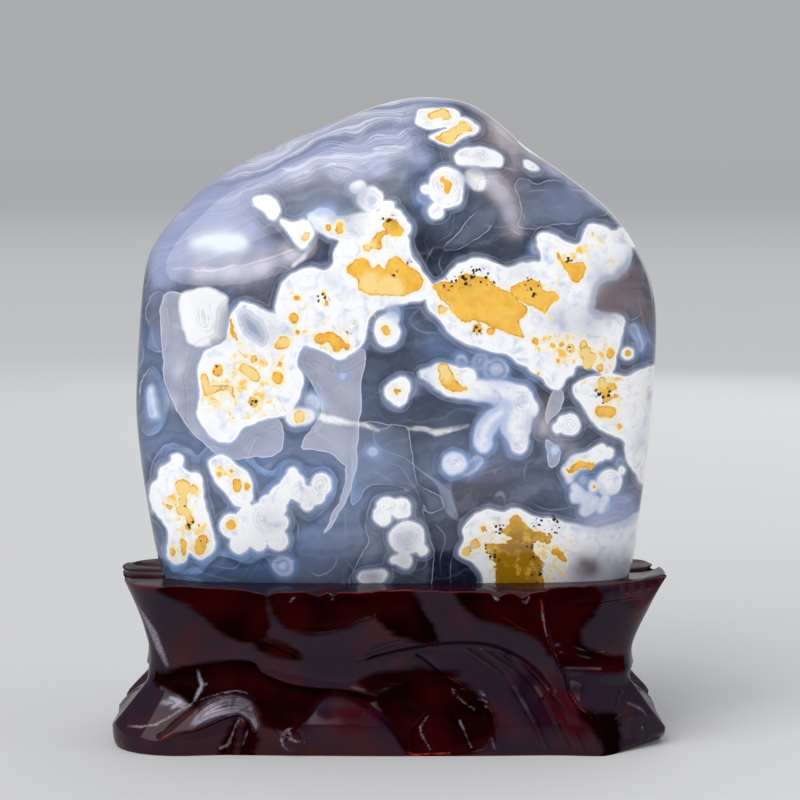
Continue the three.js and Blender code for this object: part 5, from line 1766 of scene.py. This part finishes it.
# Soft spots on the lacquer, as (x, y, radius, strength).
# painted highlight: how brightly light catches the brushed leaf, strongest low on the left
LEAF_HIGHLIGHTS = [
    (200, 721, 9, 0.8), (212, 712, 10, 1.0), (228, 716, 8, 0.8), (206, 704, 7, 0.7), (222, 696, 6, 0.6),
    (236, 694, 5, 0.6), (254, 724, 7, 0.6), (242, 716, 6, 0.4), (252, 706, 5, 0.3),
]
DULL_SPOTS = [
    (348, 718, 14, 1.0), (368, 718, 14, 1.0), (385, 720, 12, 0.9), (325, 716, 8, 0.6),
    (522, 692, 12, 0.9), (535, 712, 12, 0.9), (550, 705, 12, 0.9), (565, 712, 12, 0.8),
    (545, 722, 12, 0.8), (576, 690, 9, 1.0), (480, 705, 14, 0.7), (495, 730, 12, 0.7),
    (560, 695, 10, 0.8), (570, 720, 12, 0.9), (582, 730, 10, 0.9),
    # the dark fronts of the two ears, and a spot below the wave
    (597, 592, 5, 1.0), (607, 590, 5, 1.0), (617, 589, 5, 1.0), (627, 587, 5, 1.0), (637, 586, 5, 1.0),
    (647, 584, 5, 1.0), (655, 582, 4, 0.9), (528, 680, 10, 0.9), (132, 575, 22, 0.7), (155, 578, 22, 0.6),
    (632, 570, 22, 0.6), (655, 578, 16, 0.5),
]
RUBIES = [
    (112, 745, 16, 0.6), (185, 745, 20, 0.6), (225, 742, 18, 0.6), (270, 748, 20, 0.8),
    (310, 750, 18, 0.4), (425, 735, 18, 0.9), (440, 745, 14, 0.8), (520, 735, 14, 0.3),
    (560, 715, 18, 0.6), (582, 735, 16, 0.5), (545, 690, 12, 0.5), (400, 665, 12, 0.5),
    (290, 650, 10, 0.5), (262, 675, 10, 0.4), (500, 606, 14, 0.6), (330, 600, 14, 0.6),
    (300, 598, 10, 0.5), (630, 588, 12, 0.7), (130, 580, 16, 1.0), (150, 575, 20, 0.8),
    (145, 590, 8, 0.7), (640, 568, 18, 0.8), (655, 585, 8, 0.6),
]


def base_marks(skin, mesh_data):
    """The named fields of the marks on the lacquer, most of them painted highlights and painted shade."""
    work = Markings(skin, read_rows(mesh_data.vertices, "co", 3), [])
    return {
        "painted_glint": work.chains(PAINTED_GLINTS),
        "leaf": work.outlines(LEAF_OUTLINES),
        "leaf_highlight": work.cloud(LEAF_HIGHLIGHTS),
        "painted_sheen": work.chains(PAINTED_SHEENS),
        "dull": work.cloud(DULL_SPOTS),
        "groove_shade": work.chains(GROOVE_SHADE_LINES),
        "worn_and_lit_edge": work.chains(WORN_AND_LIT_EDGES),
        "ruby": work.cloud(RUBIES),
    }


def lacquer_material(look):
    """Near-black plum lacquer, dull in the cuts and rubbed bright on the edges; painted shade darkens the
    cuts to deep red and black, and painted highlights lie on it in pale strokes.
    """
    s = Shader("carved_lacquer")
    wide = s.field("wide_bend")
    uneven = 0.8 * (s.noise(6, 2, seed=10) - 0.5) + 4.0 * (s.streaks(2, 20, -24, seed=22) - 0.5)
    # the mask of the painted shade inside the hollows
    cut = (s.field("sunk") + uneven).smooth(-2.2, 0.7)
    deep = s.mix(s.noise(22, 2, seed=12).smooth(0.36, 0.70) * 0.8, look.black, look.ember)
    rub = s.field("bend") + 0.04 * (s.noise(5, 2, seed=4) - 0.5)
    patchy = s.noise(3, 2, seed=14).smooth(0.3, 0.6)
    colour = s.coats(
        look.plum,
        (s.noise(18, 3, seed=2).smooth(0.45, 0.70) * 0.8, look.red),
        (wide.smooth(0.03, 0.12) * 0.5, look.red),
        # painted shade: inside the hollows the colour goes to black mottled with deep red
        (cut, deep),
        # painted shade: concave creases darkened towards black
        (wide.smooth(-0.03, -0.10) * 0.8, look.black),
        (s.field("ruby") * (1.0 - 0.5 * cut), look.ruby),
        (rub.smooth(0.12, 0.30), look.worn),
        # painted shade: dark lines in the grooves
        (s.field("groove_shade").smooth(0.5, 0.1) * 0.85, look.black),
        # rubbed edges, painted brighter as edge highlights
        (s.field("worn_and_lit_edge").smooth(0.4, 0.0) * patchy, look.glowing),
    )

    # pale painted highlights: glints on marks and chips, the lit leaf and drawn-out painted sheens
    grain = s.noise(1.1, 3, seed=16)
    glints = (s.field("painted_glint") + 1.8 * (grain - 0.5)).smooth(0.5, -0.9) * (0.4 + 0.9 * grain)
    leaf = s.field("leaf")
    strokes = s.bands(leaf + 0.4 * s.streaks(1.2, 8, 20, seed=20), 0.8, 2).smooth(0.36, 0.6)
    lit = 0.1 + 0.9 * s.field("leaf_highlight")
    lit_brushed_leaf = (leaf + 1.6 * (grain - 0.5)).smooth(0.3, -0.9) * (0.1 + 0.9 * strokes)
    lit_brushed_leaf = lit_brushed_leaf * lit * (0.45 + grain)
    hairs = s.streaks(0.5, 9, -22, seed=18).smooth(0.35, 0.7)
    # painted sheen: pale streaks of reflection drawn out in hairs
    drawn = s.field("painted_sheen").smooth(1.2, -1.0) * (0.2 + 0.6 * hairs)
    colour = s.mix(glints.most(lit_brushed_leaf).most(drawn) * 0.9, colour, look.scraped)
    ripple = s.noise(7, 2, seed=6) + 0.25 * s.noise(1.6, 2, seed=8)
    return s.finish(**{
        "Base Color": colour,
        "Roughness": 0.3,
        "Specular IOR Level": 0.0,
        "Coat Weight": (0.5 - 0.49 * cut) * (1.0 - 0.9 * s.field("dull")),
        "Coat Roughness": 0.11,
        "Coat IOR": 1.5,
        "Normal": s.bump(ripple, 0.12),
    })


class BaseLook(bpy.types.PropertyGroup):
    """Colours of the base."""

    plum: colour_property("Plum lacquer", "On the faces", (0.013, 0.0035, 0.0135))
    red: colour_property("Red lacquer", "On the swellings", (0.045, 0.003, 0.006))
    # painted shade: the colour of the cuts, creases and grooves
    black: colour_property("Black lacquer", "In the cuts", (0.004, 0.0002, 0.0003))
    # painted shade: deep red mottling in the dark of the cuts
    ember: colour_property("Deep red", "Glow in the cuts", (0.030, 0.0009, 0.0012))
    ruby: colour_property("Ruby", "Clearer red patches", (0.036, 0.0018, 0.0035))
    # colour of the rubbed edges, painted brighter as edge highlights
    glowing: colour_property("Thin edges", "Fine lines rubbed to the wood", (0.25, 0.032, 0.024))
    # colour of the painted highlights, glints and sheens on the lacquer
    scraped: colour_property("Scraped", "Pale scraped lacquer", (0.44, 0.40, 0.50))
    worn: colour_property("Worn edges", "Where the lacquer is thin", (0.19, 0.014, 0.014))


class OBJECT_OT_agate_base(bpy.types.Operator):
    """Builds the carved base with its socket"""

    bl_idname = "object.agate_base"
    bl_label = "Carved base"

    def execute(self, context):
        quick, full = BASE_POINTS
        around, up = full
        skin = skin_over(*base_rings(around, up, context.scene.stone_look))
        mesh_data = bpy.data.meshes.new("carved_base")
        skin.to_mesh(mesh_data)
        mesh_data.shade_smooth()
        for name, rounds in (("bend", 1), ("wide_bend", 14)):
            keep_field(mesh_data, name, edge_field(mesh_data, rounds))
        for name, values in base_marks(skin, mesh_data).items():
            keep_field(mesh_data, name, values)
        skin.free()
        look = context.scene.base_look
        make_piece("carved_base", mesh_data, lacquer_material(look), "carved_stand")
        return {"FINISHED"}


class OBJECT_OT_agate_stage(bpy.types.Operator):
    """Sets the pale floor, the soft lights and the camera"""

    bl_idname = "object.agate_stage"
    bl_label = "Stage"

    def execute(self, context):
        scene = context.scene
        add_floor(scene)
        add_lights(scene)
        add_camera(scene)
        scene.view_settings.view_transform = "Standard"
        return {"FINISHED"}


def add_floor(scene):
    """A wide pale disc, a little darker far off."""
    ground = bmesh.new()
    bmesh.ops.create_circle(ground, cap_ends=True, segments=96, radius=FLOOR_RADIUS)
    mesh_data = bpy.data.meshes.new("floor")
    ground.to_mesh(mesh_data)
    ground.free()
    floor = bpy.data.objects.new("floor", mesh_data)
    scene.collection.objects.link(floor)
    s = Shader("pale_floor")
    length = s.node("ShaderNodeVectorMath", {"operation": "LENGTH"}, {0: s.place})
    far = Wire(s, length.outputs["Value"]).smooth(*FLOOR_CHANGE)
    mesh_data.materials.append(s.finish(**{
        "Base Color": s.mix(far, FLOOR_NEAR, FLOOR_FAR),
        "Roughness": 0.7,
        "Specular IOR Level": 0.2,
    }))


def add_lights(scene):
    """A pale room, a large soft panel and four lamps."""
    world = bpy.data.worlds.new("studio")
    world.use_nodes = True
    background = world.node_tree.nodes["Background"]
    background.inputs["Color"].default_value = ROOM_COLOUR
    background.inputs["Strength"].default_value = ROOM_LIGHT
    scene.world = world

    # a very large soft panel far off, high on the left of the front
    panel = bpy.data.lights.new("panel", "SUN")
    panel.energy = PANEL_LIGHT
    panel.angle = PANEL_WIDTH
    holder = bpy.data.objects.new("panel", panel)
    holder.rotation_euler = PANEL_RAYS.to_track_quat("-Z", "Y").to_euler()
    scene.collection.objects.link(holder)

    for name, place, size, power in LAMPS:
        lamp = bpy.data.lights.new(name, "AREA")
        lamp.shape = "SQUARE"
        lamp.size = size
        lamp.energy = power
        holder = bpy.data.objects.new(name, lamp)
        holder.location = place
        holder.rotation_euler = (LAMP_AIM - Vector(place)).to_track_quat("-Z", "Y").to_euler()
        # the lamps in front would show as hard squares in the polish
        holder.visible_glossy = name == "back"
        scene.collection.objects.link(holder)


def add_camera(scene):
    """The camera, at the photograph's viewing angle."""
    lens = bpy.data.cameras.new("camera")
    lens.sensor_width = SENSOR_WIDTH
    lens.lens = FOCAL_PIXELS / PICTURE_SIDE * SENSOR_WIDTH
    camera = bpy.data.objects.new("camera", lens)
    forward, _ = view_axes()
    camera.location = (eye_place() + TO_MIDDLE) * MM
    camera.rotation_euler = Vector(forward).to_track_quat("-Z", "Y").to_euler()
    scene.collection.objects.link(camera)
    scene.camera = camera


class VIEW3D_PT_agate(bpy.types.Panel):
    """Lists the pieces of the object"""

    bl_label = "Agate"
    bl_space_type = "VIEW_3D"
    bl_region_type = "UI"
    bl_category = "Agate"

    def draw(self, context):
        for operator in (OBJECT_OT_agate_stage, OBJECT_OT_agate_stone, OBJECT_OT_agate_base):
            self.layout.operator(operator.bl_idname)


CLASSES = (
    StoneLook, BaseLook, OBJECT_OT_agate_stone, OBJECT_OT_agate_base, OBJECT_OT_agate_stage,
    VIEW3D_PT_agate,
)


def register():
    for cls in CLASSES:
        bpy.utils.register_class(cls)
    bpy.types.Scene.stone_look = bpy.props.PointerProperty(type=StoneLook)
    bpy.types.Scene.base_look = bpy.props.PointerProperty(type=BaseLook)


def unregister():
    del bpy.types.Scene.base_look
    del bpy.types.Scene.stone_look
    for cls in reversed(CLASSES):
        bpy.utils.unregister_class(cls)


def main():
    register()
    bpy.ops.object.agate_stage()
    bpy.ops.object.agate_stone()
    bpy.ops.object.agate_base()


if __name__ == "__main__":
    main()
